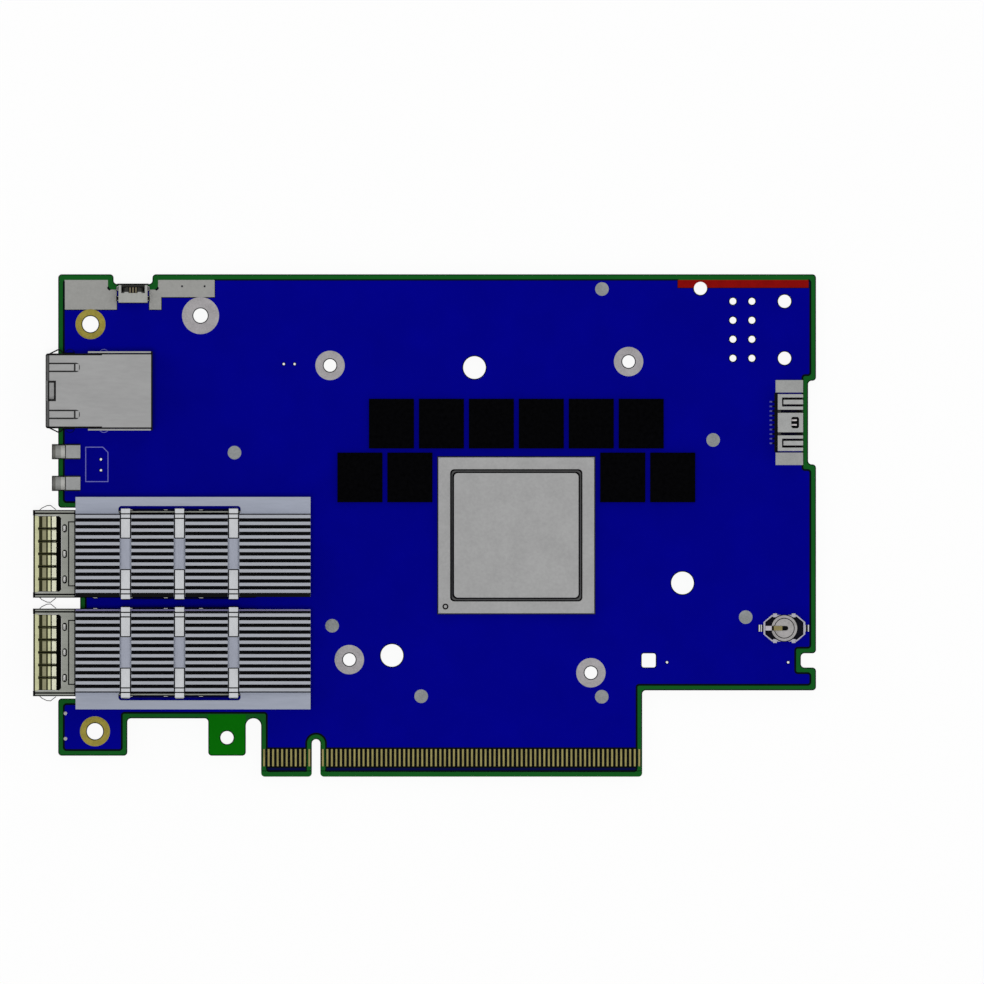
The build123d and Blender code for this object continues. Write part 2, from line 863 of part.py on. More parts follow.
def port_outline(growth):
    """Stepped section of the plug opening, with its latch slot at the top."""
    half = port_width / 2 + growth
    step = latch_step_width / 2 + growth
    slot = latch_slot_width / 2 + growth
    low = port_floor_z - growth
    right = [(half, low), (half, port_roof_z + growth), (step, port_roof_z + growth),
             (step, latch_step_z + growth), (slot, latch_step_z + growth), (slot, latch_slot_z + growth)]
    return right + [(-y, z) for y, z in reversed(right)]


def jack_shield():
    """Folded shield: roof, sides and front, with ground springs, latch window and solder tabs."""
    inner = jack_half - jack_sheet
    roof_in = jack_height - jack_sheet
    shield = block((jack_front, jack_rear - cover_sheet), (-jack_half, jack_half), (0, jack_height))
    front_edges = shield.edges().filter_by(lambda e: e.center().X < jack_front + fit_clearance
                                           and e.center().Z > fit_clearance)
    shield = fillet(front_edges, jack_bend_radius)
    shield -= block((jack_front + jack_sheet, jack_rear), (-inner, inner), (-cutting_margin, roof_in))
    shield -= along_x(port_outline(fit_clearance), (jack_front - cutting_margin, jack_front + cutting_margin))
    shield -= block((jack_front - cutting_margin, jack_front + latch_window_length),
                    across(0, latch_window_width), (latch_slot_z, jack_height + cutting_margin))
    for side in (-1, 1):
        slot = span((shield_slot_x, shield_slot_x + shield_slot_length),
                    across(side * shield_slot_y, shield_slot_width))
        slot = fillet(slot.vertices().sort_by(Axis.X)[-2:], shield_slot_end_radius)
        shield -= plate(slot, roof_in, jack_height)
        shield += roof_spring(side)
        shield -= block((shield_slot_x, shield_slot_x + side_spring_length + jack_sheet),
                        (min(side * inner, side * jack_half), max(side * inner, side * jack_half)),
                        across(side_spring_z, side_spring_width + 2 * jack_sheet))
        shield += side_spring(side)
    return shield + shield_tabs()


def roof_spring(side):
    """Ground spring in a roof slot, rooted at the front."""
    mid_z = jack_height - jack_sheet / 2
    start = shield_slot_x
    crest = [(start + run, mid_z + shield_finger_rise) for run in shield_finger_crest]
    path = [(start - jack_sheet, mid_z), (start, mid_z)] + crest + [(start + shield_finger_length, mid_z)]
    return strip_along_y(path, jack_sheet, across(side * shield_slot_y, shield_finger_width))


def side_spring(side):
    """Ground spring bowed out of a side wall, rooted at the front."""
    mid = jack_half - jack_sheet / 2
    start = shield_slot_x
    path = [(start - jack_sheet, mid), (start, mid)]
    path += [(start + run, mid + reach) for run, reach in side_spring_bow]
    section = trace(Polyline(*[(x, side * y) for x, y in path]), jack_sheet)
    return plate(section, side_spring_z - side_spring_width / 2, side_spring_z + side_spring_width / 2)


def shield_tabs():
    """Solder tabs that run from both sides of the shield through the board."""
    walls = ((-jack_half, jack_sheet - jack_half), (jack_half - jack_sheet, jack_half))
    return [block(across(x, shield_tab_width), wall, (underside_z - jack_tail_proud, 0))
            for x in shield_tab_xs for wall in walls]


def jack_rear_cover():
    """Folded cover behind the shield, with a wing along each side."""
    inner = jack_half + cover_clearance
    outer = inner + cover_sheet
    low_z = jack_sheet
    cover = block((cover_start_x, jack_rear), (-outer, outer), (low_z, jack_height - jack_sheet))
    return cover - block((cover_start_x - cutting_margin, jack_rear - cover_sheet), (-inner, inner),
                         (0, jack_height))


def jack_housing():
    """Moulded block inside the shield, with the plug opening and a slot for each wire."""
    half = jack_half - jack_sheet - fit_clearance
    x_range = (jack_front + jack_sheet + fit_clearance, jack_rear - cover_sheet - fit_clearance)
    housing = block(x_range, (-half, half), (0, jack_height - jack_sheet - fit_clearance))
    housing -= along_x(port_outline(0), (jack_front, jack_front + port_depth))
    housing -= block((jack_front, jack_front + latch_window_length), across(0, latch_window_width),
                     (latch_slot_z, jack_height))
    middle = (wire_count - 1) / 2
    slot_end = max(wire_tail_xs) + wire_thickness
    return housing - [block((wire_front_x - wire_thickness, slot_end),
                            across((i - middle) * wire_pitch, wire_slot_width),
                            (0, port_floor_z + fit_clearance)) for i in range(wire_count)]


def jack_wire(index):
    """Sprung wire: sloping contact, fold at the front, run under the floor and tail through the board."""
    tail_x = wire_tail_xs[index % 2]
    path = [(wire_tip_x, wire_tip_z), (wire_front_x, port_floor_z), (wire_front_x, wire_run_z),
            (tail_x, wire_run_z), (tail_x, underside_z - jack_tail_proud)]
    y = (index - (wire_count - 1) / 2) * wire_pitch
    return strip_along_y(path, wire_thickness, across(y, wire_width))


def at_jack(shape):
    """A jack piece moved to its place on the board."""
    pieces = shape if isinstance(shape, list) else [shape]
    return [Pos(0, jack_y, 0) * piece for piece in pieces]


# Status lights


def light_lens(y):
    """Round lens that reaches over the edge of the board."""
    lens = Cylinder(light_width / 2, lens_length, rotation=(0, 90, 0))
    return Pos(light_front + lens_length / 2, y, light_height / 2) * lens


def light_body(y):
    """Moulded block behind the lens."""
    start = light_front + lens_length
    body = block((start, start + light_body_length), across(y, light_width), (0, light_height))
    return chamfer(body.edges().group_by(Axis.Z)[-1].filter_by(Axis.X), light_chamfer)


def light_leads():
    """Square leads from both bodies through the board."""
    z_range = (-light_lead_length, 0)
    return [block(across(x, light_lead_size), across(y, light_lead_size), z_range)
            for x, y in light_lead_spots()]


# Small USB socket, drawn about its own middle line


def usb_section(growth):
    """Section of the socket with its lower corners cut, grown outwards by a given amount."""
    half = usb_width / 2 + growth
    top = usb_height + growth
    low = max(-growth, 0)
    right = [(half - usb_bevel, low), (half, usb_bevel_height), (half, top)]
    return right + [(-x, z) for x, z in reversed(right)]


def usb_shell():
    """Folded shell with a flared mouth, a window with two springs in its roof, and solder tabs."""
    back = usb_rear_y
    shell = along_y(usb_section(0), (back, usb_front_y))
    shell += along_y(usb_section(usb_flare), (usb_front_y - usb_flare_length, usb_front_y))
    shell -= along_y(usb_section(-usb_sheet), (back - cutting_margin, usb_front_y + cutting_margin))
    window_end = usb_front_y - usb_window_inset - usb_flare_length
    window = (window_end - usb_window_length, window_end)
    shell -= block(across(0, usb_window_width), window, (usb_height - usb_sheet, usb_height + usb_flare))
    for side in (-1, 1):
        shell += block(across(side * usb_spring_spacing / 2, usb_spring_width),
                       (window[0], window_end - usb_sheet), (usb_height - usb_sheet, usb_height))
    middle = (usb_front_y + usb_rear_y) / 2
    tabs = []
    for side in (-1, 1):
        for end in (-1, 1):
            x_range = across(side * (usb_width / 2 + usb_sheet / 2), usb_sheet)
            y_range = across(middle + end * usb_tab_spacing / 2, usb_tab_width)
            tabs.append(block(x_range, y_range, (underside_z - tail_proud, usb_height - usb_bevel_height)))
    return shell + tabs


def usb_tongue():
    """Moulded back of the socket with the thin tongue that carries the contacts."""
    start = usb_rear_y + fit_clearance
    body = along_y(usb_section(-usb_sheet - fit_clearance), (start, start + usb_back))
    return body + block(across(0, usb_tongue_width), (start, usb_front_y - usb_tongue_setback),
                        (usb_tongue_z, usb_tongue_z + usb_tongue_thickness))


def usb_contacts():
    """Flat contacts on the upper face of the tongue."""
    top = usb_tongue_z + usb_tongue_thickness
    middle = (usb_contact_count - 1) / 2
    return [block(across((i - middle) * usb_contact_pitch, usb_contact_width),
                  (usb_rear_y + fit_clearance + usb_back, usb_front_y - usb_tongue_setback - usb_sheet),
                  (top, top + usb_contact_thickness)) for i in range(usb_contact_count)]


def at_usb(shape):
    """A piece of the small socket moved to its place on the board."""
    pieces = shape if isinstance(shape, list) else [shape]
    return [Pos(usb_x, 0, 0) * piece for piece in pieces]


# Cable socket on the right edge, drawn about its own middle line, its mouth towards the edge


def socket_half():
    """Half width of the moulded socket between its end blocks."""
    return socket_end_reach - socket_end_width - socket_gap


def pin_slots(x_range):
    """Slots in which the pins pass, over a given length."""
    return [block(x_range, across(y, pin_width + 2 * fit_clearance),
                  across(pin_z, pin_thickness + 2 * fit_clearance)) for y in pin_ys()]


def socket_housing():
    """Moulded socket: a block with a wide mouth, open at the back for its insert and above its bays."""
    half = socket_half()
    back = socket_x - socket_length
    roof_z = socket_height - socket_roof
    housing = block((back, socket_x), (-half, half), (0, socket_height))
    housing -= block((back + socket_wall, socket_x), (socket_wall - half, half - socket_wall),
                     (socket_floor, roof_z))
    housing -= block((back, back + socket_wall), (socket_wall - half, half - socket_wall),
                     (socket_floor, insert_height))
    for side in (-1, 1):
        bay = sorted((side * socket_core_width / 2, side * (half + cutting_margin)))
        housing -= block((back + socket_wall, socket_x), bay, (roof_z, socket_height))
        groove = sorted((side * socket_core_width / 2, side * socket_latch_inner))
        housing -= block((back, back + socket_wall), groove,
                         (socket_height - socket_groove_depth, socket_height))
    window_end = socket_x - socket_window_inset
    window = span((window_end - socket_window_length, window_end), across(0, socket_window_width))
    return housing - plate(fillet(window.vertices(), socket_window_radius), roof_z, socket_height)


def socket_insert():
    """Dark moulded insert that carries the pins: a block behind the socket and a floor in its mouth."""
    back = socket_x - socket_length
    rear = back - fit_clearance - insert_depth
    half = socket_half() - socket_wall - fit_clearance
    low_z = socket_floor + fit_clearance
    insert = block((rear, back - fit_clearance), across(0, 2 * insert_reach), (0, insert_height))
    insert += block((rear, back + socket_wall), (-half, half), (low_z, insert_height - fit_clearance))
    insert += block((rear, socket_x - insert_setback), (-half, half), (low_z, low_z + insert_floor))
    return insert - pin_slots((rear, back + socket_wall))


def socket_latch(side):
    """Sprung frame over one latch bay: a band at the back, two arms and a bar on a thin bridge."""
    start = socket_x - socket_length + socket_wall
    slot_end = start + socket_latch_band + socket_bar_gap
    low_z = socket_height - socket_roof
    z_range = (low_z, socket_height)
    bar_range = across((socket_latch_inner + socket_latch_outer) / 2, socket_bar_width)
    frame = block((start, start + socket_latch_band), (socket_latch_inner, socket_latch_outer), z_range)
    frame += [block((start, socket_x), (socket_latch_inner, socket_latch_inner + socket_latch_arm), z_range),
              block((start, socket_x), (socket_latch_outer - socket_latch_arm, socket_latch_outer), z_range),
              block((start, slot_end), bar_range, (low_z, low_z + socket_bridge)),
              block((slot_end, socket_x), bar_range, z_range)]
    return frame if side > 0 else mirror(frame, Plane.XZ)


def socket_brackets():
    """Metal blocks soldered to the board at both ends of the socket."""
    x_range = (socket_x - socket_bracket_length, socket_x)
    inner = socket_end_reach - socket_end_width
    return [block(x_range, sorted((side * inner, side * socket_end_reach)), (0, socket_height))
            for side in (-1, 1)]


def pin_ys():
    """Middle lines of the pins across the socket."""
    middle = (pin_count - 1) / 2
    return [(i - middle) * pin_pitch for i in range(pin_count)]


def socket_pins():
    """Bent pins: flat foot behind the socket, riser and straight blade into the mouth."""
    riser = socket_x - socket_length - insert_depth - pin_thickness
    lift = pin_thickness / 2
    path = [(riser - pin_foot, lift), (riser, lift), (riser, pin_z), (socket_x - pin_setback, pin_z)]
    return [strip_along_y(path, pin_thickness, across(y, pin_width)) for y in pin_ys()]


def at_socket(shape):
    """A piece of the cable socket moved to its place on the board."""
    pieces = shape if isinstance(shape, list) else [shape]
    return [Pos(0, socket_y, 0) * piece for piece in pieces]


# Coin cell and its holder, drawn about the middle of the cell


def holder_plan(growth):
    """Six-sided outline of the holder, with narrow ends."""
    length = holder_half_length + growth
    width = holder_half_width + growth
    quarter = [(length, holder_end_half), (holder_shoulder, width)]
    upper = quarter + [(-x, y) for x, y in reversed(quarter)]
    return make_face(Polyline(*(upper + [(x, -y) for x, y in reversed(upper)]), close=True))


def battery_holder():
    """Moulded tray with thin walls, a floor and four corner posts."""
    tray = plate(holder_plan(0), 0, holder_height)
    bowl = plate(holder_plan(-holder_wall), holder_floor, holder_height)
    bowl += plate(Circle(cell_radius + fit_clearance), holder_floor, holder_height)
    posts = [block(across(x * holder_post_x, holder_post_size), across(y * holder_post_y, holder_post_size),
                   (0, holder_height + holder_post_rise)) for x in (-1, 1) for y in (-1, 1)]
    well = plate(Circle(cell_radius + fit_clearance), holder_floor, holder_height + holder_post_rise)
    return (tray + posts) - bowl - well


def coin_cell():
    """Metal can with a narrower cap, as one sealed cell."""
    cap_z = holder_floor + cell_can_height
    can = plate(Circle(cell_radius), holder_floor, cap_z)
    return can + plate(Circle(cell_cap_radius), cap_z, holder_floor + cell_cap_height)


def battery_spring_arm():
    """Gold-plated arm from the end of the holder to the middle of the cell."""
    lift = arm_thickness / 2
    cap_top = holder_floor + cell_cap_height
    start = -holder_half_length + holder_wall + lift + fit_clearance
    top = holder_height + arm_lift
    path = [(start, holder_floor), (start, top), (start + 2 * holder_wall, top),
            (arm_tip_x - arm_width / 2, cap_top + lift), (arm_tip_x, cap_top + lift)]
    tip = plate(Pos(arm_tip_x, 0) * Circle(arm_width / 2), cap_top, cap_top + arm_thickness)
    return strip_along_y(path, arm_thickness, across(0, arm_width)) + tip


def battery_terminals():
    """Solder feet beyond both ends of the holder, each turned up against its end wall."""
    lift = terminal_thickness / 2
    near = holder_half_length + lift
    path = [(near + terminal_length, lift), (near, lift), (near, terminal_tongue_z)]
    foot = strip_along_y(path, terminal_thickness, across(0, terminal_width))
    return [foot, mirror(foot, Plane.YZ)]


def at_cell(shape):
    """A piece of the coin cell moved to its place on the board."""
    pieces = shape if isinstance(shape, list) else [shape]
    return [Pos(cell_x, cell_y, 0) * piece for piece in pieces]


# Assembly, with the origin under the middle of the card's box


def lowest_tail():
    """Depth of the longest tail below the underside of the board."""
    return max(tail_proud, jack_tail_proud, light_lead_length - board_thickness)


def save(name, shape):
    """Write one piece, or a group of like pieces, in the card's own frame."""
    left = cage_front
    middle = ((left + board_length) / 2, board_width / 2)
    lift = Pos(-middle[0], -middle[1], board_thickness + lowest_tail())
    pieces = shape if isinstance(shape, list) else [shape]
    solids = [solid for piece in pieces for solid in (lift * piece).solids()]
    export_step(Compound(children=solids), f"parts/{name}.step")


def save_board():
    """The board, its contacts, lands and print."""
    save("circuit_board", circuit_board())
    save("edge_contacts_top", edge_contacts(0, 0))
    save("edge_contacts_underside", edge_contacts(underside_z - contact_thickness, sensing_contact_drop))
    save("bracket_hole_lands", plate(bracket_rings(), 0, land_thickness))
    save("fixing_hole_lands", plate(fixing_rings(), 0, land_thickness))
    save("round_lands", plate(dots(round_land_places(), round_land_radius), 0, land_thickness))
    save("ground_lands", plate(ground_plan(), -mask_thickness, 0))
    save("red_edge_strip", plate(strip_plan(), -mask_thickness, 0))
    save("printed_outline", printed_outline())


def save_chips():
    """The processor and the memory around it."""
    save("processor_substrate", processor_substrate())
    save("processor_lid", processor_lid())
    for number, place in enumerate(memory_chip_places(), 1):
        save(f"memory_chip_{number}", memory_chip(place))


def save_ports():
    """Both module ports, the lower one the mirror image of the upper."""
    for name, side in (("upper", 1), ("lower", -1)):
        save(f"{name}_cage_shell", at_port(cage_shell(), side))
        save(f"{name}_cage_base", at_port(cage_base(), side))
        save(f"{name}_cage_gasket", at_port(cage_gasket(), side))
        save(f"{name}_host_housing", at_port(host_housing(), side))
        save(f"{name}_host_contacts", at_port(host_contacts(), side))
        save(f"{name}_heat_sink", at_port(heat_sink(), side))
        save(f"{name}_heat_sink_clip", at_port(heat_sink_clip(), side))


def save_sockets():
    """Network jack, status lights, small socket and cable socket."""
    save("jack_shield", at_jack(jack_shield()))
    save("jack_rear_cover", at_jack(jack_rear_cover()))
    save("jack_housing", at_jack(jack_housing()))
    save("jack_contacts", at_jack([jack_wire(i) for i in range(wire_count)]))
    for name, y in zip(("upper", "lower"), light_ys()):
        save(f"{name}_light_body", light_body(y))
        save(f"{name}_light_lens", light_lens(y))
    save("status_light_leads", light_leads())
    save("usb_shell", at_usb(usb_shell()))
    save("usb_tongue", at_usb(usb_tongue()))
    save("usb_contacts", at_usb(usb_contacts()))
    save("side_socket_housing", at_socket(socket_housing()))
    save("side_socket_insert", at_socket(socket_insert()))
    save("side_socket_latches", at_socket([socket_latch(side) for side in (-1, 1)]))
    save("side_socket_brackets", at_socket(socket_brackets()))
    save("side_socket_pins", at_socket(socket_pins()))


def save_battery():
    """The coin cell, its holder and its contacts."""
    save("battery_holder", at_cell(battery_holder()))
    save("coin_cell", at_cell(coin_cell()))
    save("battery_spring_arm", at_cell(battery_spring_arm()))
    save("battery_terminals", at_cell(battery_terminals()))


os.makedirs("parts", exist_ok=True)
save_board()
save_chips()
save_ports()
save_sockets()
save_battery()
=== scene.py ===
import math
import bmesh
import bpy
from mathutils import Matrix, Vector


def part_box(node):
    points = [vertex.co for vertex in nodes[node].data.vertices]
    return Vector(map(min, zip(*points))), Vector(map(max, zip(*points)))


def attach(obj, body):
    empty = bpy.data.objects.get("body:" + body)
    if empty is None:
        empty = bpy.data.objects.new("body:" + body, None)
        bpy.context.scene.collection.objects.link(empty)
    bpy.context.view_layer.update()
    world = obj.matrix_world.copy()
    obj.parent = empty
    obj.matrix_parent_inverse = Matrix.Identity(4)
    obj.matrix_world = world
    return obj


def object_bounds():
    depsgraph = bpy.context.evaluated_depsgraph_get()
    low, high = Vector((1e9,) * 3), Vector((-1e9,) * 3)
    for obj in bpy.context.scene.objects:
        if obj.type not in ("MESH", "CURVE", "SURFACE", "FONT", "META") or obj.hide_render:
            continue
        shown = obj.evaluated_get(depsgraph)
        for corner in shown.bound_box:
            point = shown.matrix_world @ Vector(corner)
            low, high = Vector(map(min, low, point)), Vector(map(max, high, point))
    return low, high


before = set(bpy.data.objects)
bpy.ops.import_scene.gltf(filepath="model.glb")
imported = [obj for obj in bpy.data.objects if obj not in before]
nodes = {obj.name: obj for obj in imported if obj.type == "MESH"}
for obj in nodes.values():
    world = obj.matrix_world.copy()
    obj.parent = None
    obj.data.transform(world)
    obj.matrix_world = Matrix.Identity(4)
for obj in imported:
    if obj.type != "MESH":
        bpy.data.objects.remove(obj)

cad_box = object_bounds()
mm = 0.001


# Circuit board: one sheet of glass cloth and resin, green where its rim, tongue and tab are bare,
# under a raised field of blue solder mask. It is routed to shape, drilled and bevelled at the tongue.
rim_green = (20, 84, 30)
tab_green = (8, 102, 7)
mask_blue = (1, 1, 133)
board_low, board_high = [Vector(corner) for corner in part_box("circuit_board")]
board_face = board_high.z
board_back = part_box("edge_contacts_underside")[1][2]
mask_field_z = (-0.02, 1)
tab_x = (33.2, 41.5)
tab_y = (0, 13.75)
contact_ground = (5, 8, 10)
contact_ground_x = (44.9, 129.2)
contact_ground_y = (1.95, 6.5)
contact_fade = (5, 8, 58)
contact_fade_y = (1.2, 1.95)
laminate_shine = 0.02
weave_pitch = 0.45
weave_scale = 2 * math.pi / (weave_pitch * mm)
weave_spread = (0.1, 0.7)
cloud_scale = 120.0
cloth_share = 0.3
grain_spread = (0.35, 0.65)
weld_distance = 0.0005 * mm


def place(x, y, z=0.0):
    """Millimetres from the board's left and lowest edges and its face, as a place in the frame's metres."""
    return Vector((board_low.x + x * mm, board_low.y + y * mm, board_face + z * mm))


def colour(red, green, blue):
    """A colour given on the 255 scale, as the linear values of a shader."""
    parts = [value / 255 for value in (red, green, blue)]
    linear = [part / 12.92 if part <= 0.04045 else ((part + 0.055) / 1.055) ** 2.4 for part in parts]
    return (*linear, 1.0)


def effect_group(name, **numbers):
    """An empty shader node group: a vector and named numbers go in, a shade and a height come out."""
    group = bpy.data.node_groups.new(name, "ShaderNodeTree")
    group.interface.new_socket("Vector", in_out="INPUT", socket_type="NodeSocketVector")
    for title, value in numbers.items():
        socket = group.interface.new_socket(title, in_out="INPUT", socket_type="NodeSocketFloat")
        socket.default_value = value
    for title in ("Shade", "Height"):
        group.interface.new_socket(title, in_out="OUTPUT", socket_type="NodeSocketFloat")
    return group, group.nodes.new("NodeGroupInput"), group.nodes.new("NodeGroupOutput")


def add(tree, kind, links=(), **settings):
    """A node with its settings, and its inputs either linked or given a value."""
    node = tree.nodes.new(kind)
    for key, value in settings.items():
        setattr(node, key, value)
    for socket, value in links:
        if isinstance(value, bpy.types.NodeSocket):
            tree.links.new(value, node.inputs[socket])
        else:
            node.inputs[socket].default_value = value
    return node


def math_node(tree, operation, first, second=0.5):
    """One step of arithmetic on a socket or value, or between two."""
    return add(tree, "ShaderNodeMath", [(0, first), (1, second)], operation=operation).outputs[0]


def put_out(group, end, shade, spread, height):
    """Ends an effect: its shade, spread from a narrow range over 0 to 1, and its height."""
    wide = add(group, "ShaderNodeMapRange", [(0, shade), (1, spread[0]), (2, spread[1])])
    group.links.new(wide.outputs[0], end.inputs["Shade"])
    group.links.new(height, end.inputs["Height"])


def grain_effect():
    """Soft mottling with a finer grain in it, stretched by the vector that feeds it."""
    group, start, end = effect_group("surface_grain", Scale=400.0, Fineness=6.0)
    vector, scale, fineness = start.outputs[0], start.outputs[1], start.outputs[2]
    broad = add(group, "ShaderNodeTexNoise", [("Vector", vector), ("Scale", scale), ("Detail", 3.0)])
    fine_scale = math_node(group, "MULTIPLY", scale, fineness)
    fine = add(group, "ShaderNodeTexNoise", [("Vector", vector), ("Scale", fine_scale), ("Detail", 2.0)])
    mixed = add(group, "ShaderNodeMix", [("Factor", 0.5), (2, broad.outputs[0]), (3, fine.outputs[0])])
    put_out(group, end, mixed.outputs[0], grain_spread, fine.outputs[0])
    return group


def weave_effect():
    """Over-and-under weave of the glass cloth, showing faintly through the resin."""
    group, start, end = effect_group("glass_weave", Scale=1.0)
    vector, scale = start.outputs[0], start.outputs[1]
    axes = add(group, "ShaderNodeSeparateXYZ", [(0, vector)])
    turns = [math_node(group, "MULTIPLY", axes.outputs[axis], scale) for axis in (0, 1)]
    cloth = math_node(group, "MULTIPLY", *[math_node(group, "SINE", turn) for turn in turns])
    cloudy = add(group, "ShaderNodeTexNoise", [("Vector", vector), ("Scale", cloud_scale), ("Detail", 3.0)])
    shade = add(group, "ShaderNodeMix", [("Factor", cloth_share), (2, cloudy.outputs[0]), (3, cloth)])
    put_out(group, end, shade.outputs[0], weave_spread, cloth)
    return group


surface_grain = grain_effect()
glass_weave = weave_effect()


def tinted(tree, base, tone):
    """A base colour made lighter and darker by a tone about 1."""
    return add(tree, "ShaderNodeVectorMath", [(0, colour(*base)[:3]), ("Scale", tone)],
               operation="SCALE").outputs[0]


def finish(name, base, metallic=0.0, roughness=0.5, depth=0.1, effect=surface_grain, scale=400.0,
           stretch=(1, 1, 1), bump=0.1, bump_size=0.02, shine=0.5):
    """A material: a base colour varied by an effect, with its roughness and bump from the same effect."""
    material = bpy.data.materials.new(name)
    material.use_nodes = True
    tree = material.node_tree
    shader = tree.nodes["Principled BSDF"]
    shader.inputs["Metallic"].default_value = metallic
    shader.inputs["Specular IOR Level"].default_value = shine
    where = add(tree, "ShaderNodeTexCoord")
    spun = add(tree, "ShaderNodeMapping", [("Vector", where.outputs["Object"]), ("Scale", stretch)])
    made = add(tree, "ShaderNodeGroup", node_tree=effect)
    tree.links.new(spun.outputs[0], made.inputs["Vector"])
    made.inputs["Scale"].default_value = scale
    tone = add(tree, "ShaderNodeMapRange", [(0, made.outputs["Shade"]), (3, 1 - depth), (4, 1 + depth)],
               name="tone")
    rough = add(tree, "ShaderNodeMapRange", [(0, made.outputs["Shade"]), (3, roughness * (1 + depth)),
                                             (4, roughness * (1 - depth))])
    relief = add(tree, "ShaderNodeBump", [("Strength", bump), ("Distance", bump_size * mm),
                                          ("Height", made.outputs["Height"])])
    tree.links.new(tinted(tree, base, tone.outputs[0]), shader.inputs["Base Color"])
    tree.links.new(rough.outputs[0], shader.inputs["Roughness"])
    tree.links.new(relief.outputs[0], shader.inputs["Normal"])
    return material


def metal(name, base, **look):
    """A finish of bare or plated metal."""
    return finish(name, base, metallic=1.0, **look)


def repaint(material, factor, base):
    """Where the factor is 1, the base colour of a finish becomes another one, varied in the same way."""
    tree = material.node_tree
    shader = tree.nodes["Principled BSDF"]
    before = shader.inputs["Base Color"].links[0].from_socket
    after = tinted(tree, base, tree.nodes["tone"].outputs[0])
    blend = add(tree, "ShaderNodeMix", [("Factor", factor), (6, before), (7, after)], data_type="RGBA")
    tree.links.new(blend.outputs[2], shader.inputs["Base Color"])


def between(tree, value, low, high):
    """1 where a value lies between two others, 0 elsewhere."""
    above = math_node(tree, "GREATER_THAN", value, low)
    below = math_node(tree, "LESS_THAN", value, high)
    return math_node(tree, "MULTIPLY", above, below)


def all_of(tree, factors):
    """1 where every factor is 1."""
    result = factors[0]
    for factor in factors[1:]:
        result = math_node(tree, "MULTIPLY", result, factor)
    return result


def axis_value(tree, axis):
    """The object's own coordinate along one axis."""
    where = add(tree, "ShaderNodeTexCoord")
    return add(tree, "ShaderNodeSeparateXYZ", [(0, where.outputs["Object"])]).outputs[axis]


def stretch_factor(tree, x=None, y=None, z=None):
    """1 inside stretches given in the board's millimetres along any of the axes."""
    factors = []
    for axis, stretch in enumerate((x, y, z)):
        if stretch:
            low, high = [place(value, value, value)[axis] for value in stretch]
            factors.append(between(tree, axis_value(tree, axis), low, high))
    return all_of(tree, factors)


def patch(material, base, x=None, y=None, z=None, also=()):
    """Repaints a stretch of a piece, given in the board's millimetres, with any further factors."""
    tree = material.node_tree
    repaint(material, all_of(tree, [stretch_factor(tree, x, y, z)] + list(also)), base)


def from_line(tree, axis, middle, low, high):
    """1 between two distances in millimetres to either side of a line across an axis."""
    level = place(middle, middle)[axis]
    offset = math_node(tree, "SUBTRACT", axis_value(tree, axis), level)
    return between(tree, math_node(tree, "ABSOLUTE", offset), low * mm, high * mm)


def around(tree, x, y, low, high):
    """1 between two radii in millimetres about an upright axis."""
    where = add(tree, "ShaderNodeTexCoord").outputs["Object"]
    flat = add(tree, "ShaderNodeVectorMath", [(0, where), (1, (1, 1, 0))], operation="MULTIPLY").outputs[0]
    spot = place(x, y)
    away = add(tree, "ShaderNodeVectorMath", [(0, flat), (1, (spot.x, spot.y, 0))], operation="DISTANCE")
    return between(tree, away.outputs["Value"], low * mm, high * mm)


def smooth_tree():
    """Joins the loose faces of a made piece and shades its round stretches smooth, its corners sharp."""
    tree = bpy.data.node_groups.new("smooth_rounds", "GeometryNodeTree")
    tree.interface.new_socket("Geometry", in_out="INPUT", socket_type="NodeSocketGeometry")
    tree.interface.new_socket("Angle", in_out="INPUT", socket_type="NodeSocketFloat")
    tree.interface.new_socket("Geometry", in_out="OUTPUT", socket_type="NodeSocketGeometry")
    start = tree.nodes.new("NodeGroupInput")
    end = tree.nodes.new("NodeGroupOutput")
    joined = add(tree, "GeometryNodeMergeByDistance", [("Geometry", start.outputs[0]),
                                                       ("Distance", weld_distance)])
    angle = add(tree, "GeometryNodeInputMeshEdgeAngle")
    sharp = add(tree, "FunctionNodeCompare", [(0, angle.outputs[0]), (1, start.outputs[1])],
                data_type="FLOAT", operation="LESS_THAN")
    faces = add(tree, "GeometryNodeSetShadeSmooth", [("Geometry", joined.outputs[0])], domain="FACE")
    edges = add(tree, "GeometryNodeSetShadeSmooth", [("Geometry", faces.outputs[0]),
                                                     ("Shade Smooth", sharp.outputs[0])], domain="EDGE")
    tree.links.new(edges.outputs[0], end.inputs[0])
    return tree


smooth_rounds = smooth_tree()
round_angle = math.radians(32)


def socket_id(tree, title):
    """The identifier of a node tree's named input."""
    return next(item.identifier for item in tree.interface.items_tree
                if item.item_type == "SOCKET" and item.in_out == "INPUT" and item.name == title)


def dress(names, material, edge=0.0):
    """Gives carried-over pieces their finish, smooth rounds and, where asked, broken edges that wide."""
    for name in [names] if isinstance(names, str) else names:
        piece = nodes[name]
        for slot in piece.material_slots:
            slot.material = material
        rounds = piece.modifiers.new("rounds", "NODES")
        rounds.node_group = smooth_rounds
        rounds[socket_id(smooth_rounds, "Angle")] = round_angle
        if edge:
            broken = piece.modifiers.new("edges", "BEVEL")
            broken.width = edge * mm
            broken.segments = 2
            broken.limit_method = "ANGLE"
            broken.angle_limit = round_angle
            broken.harden_normals = True


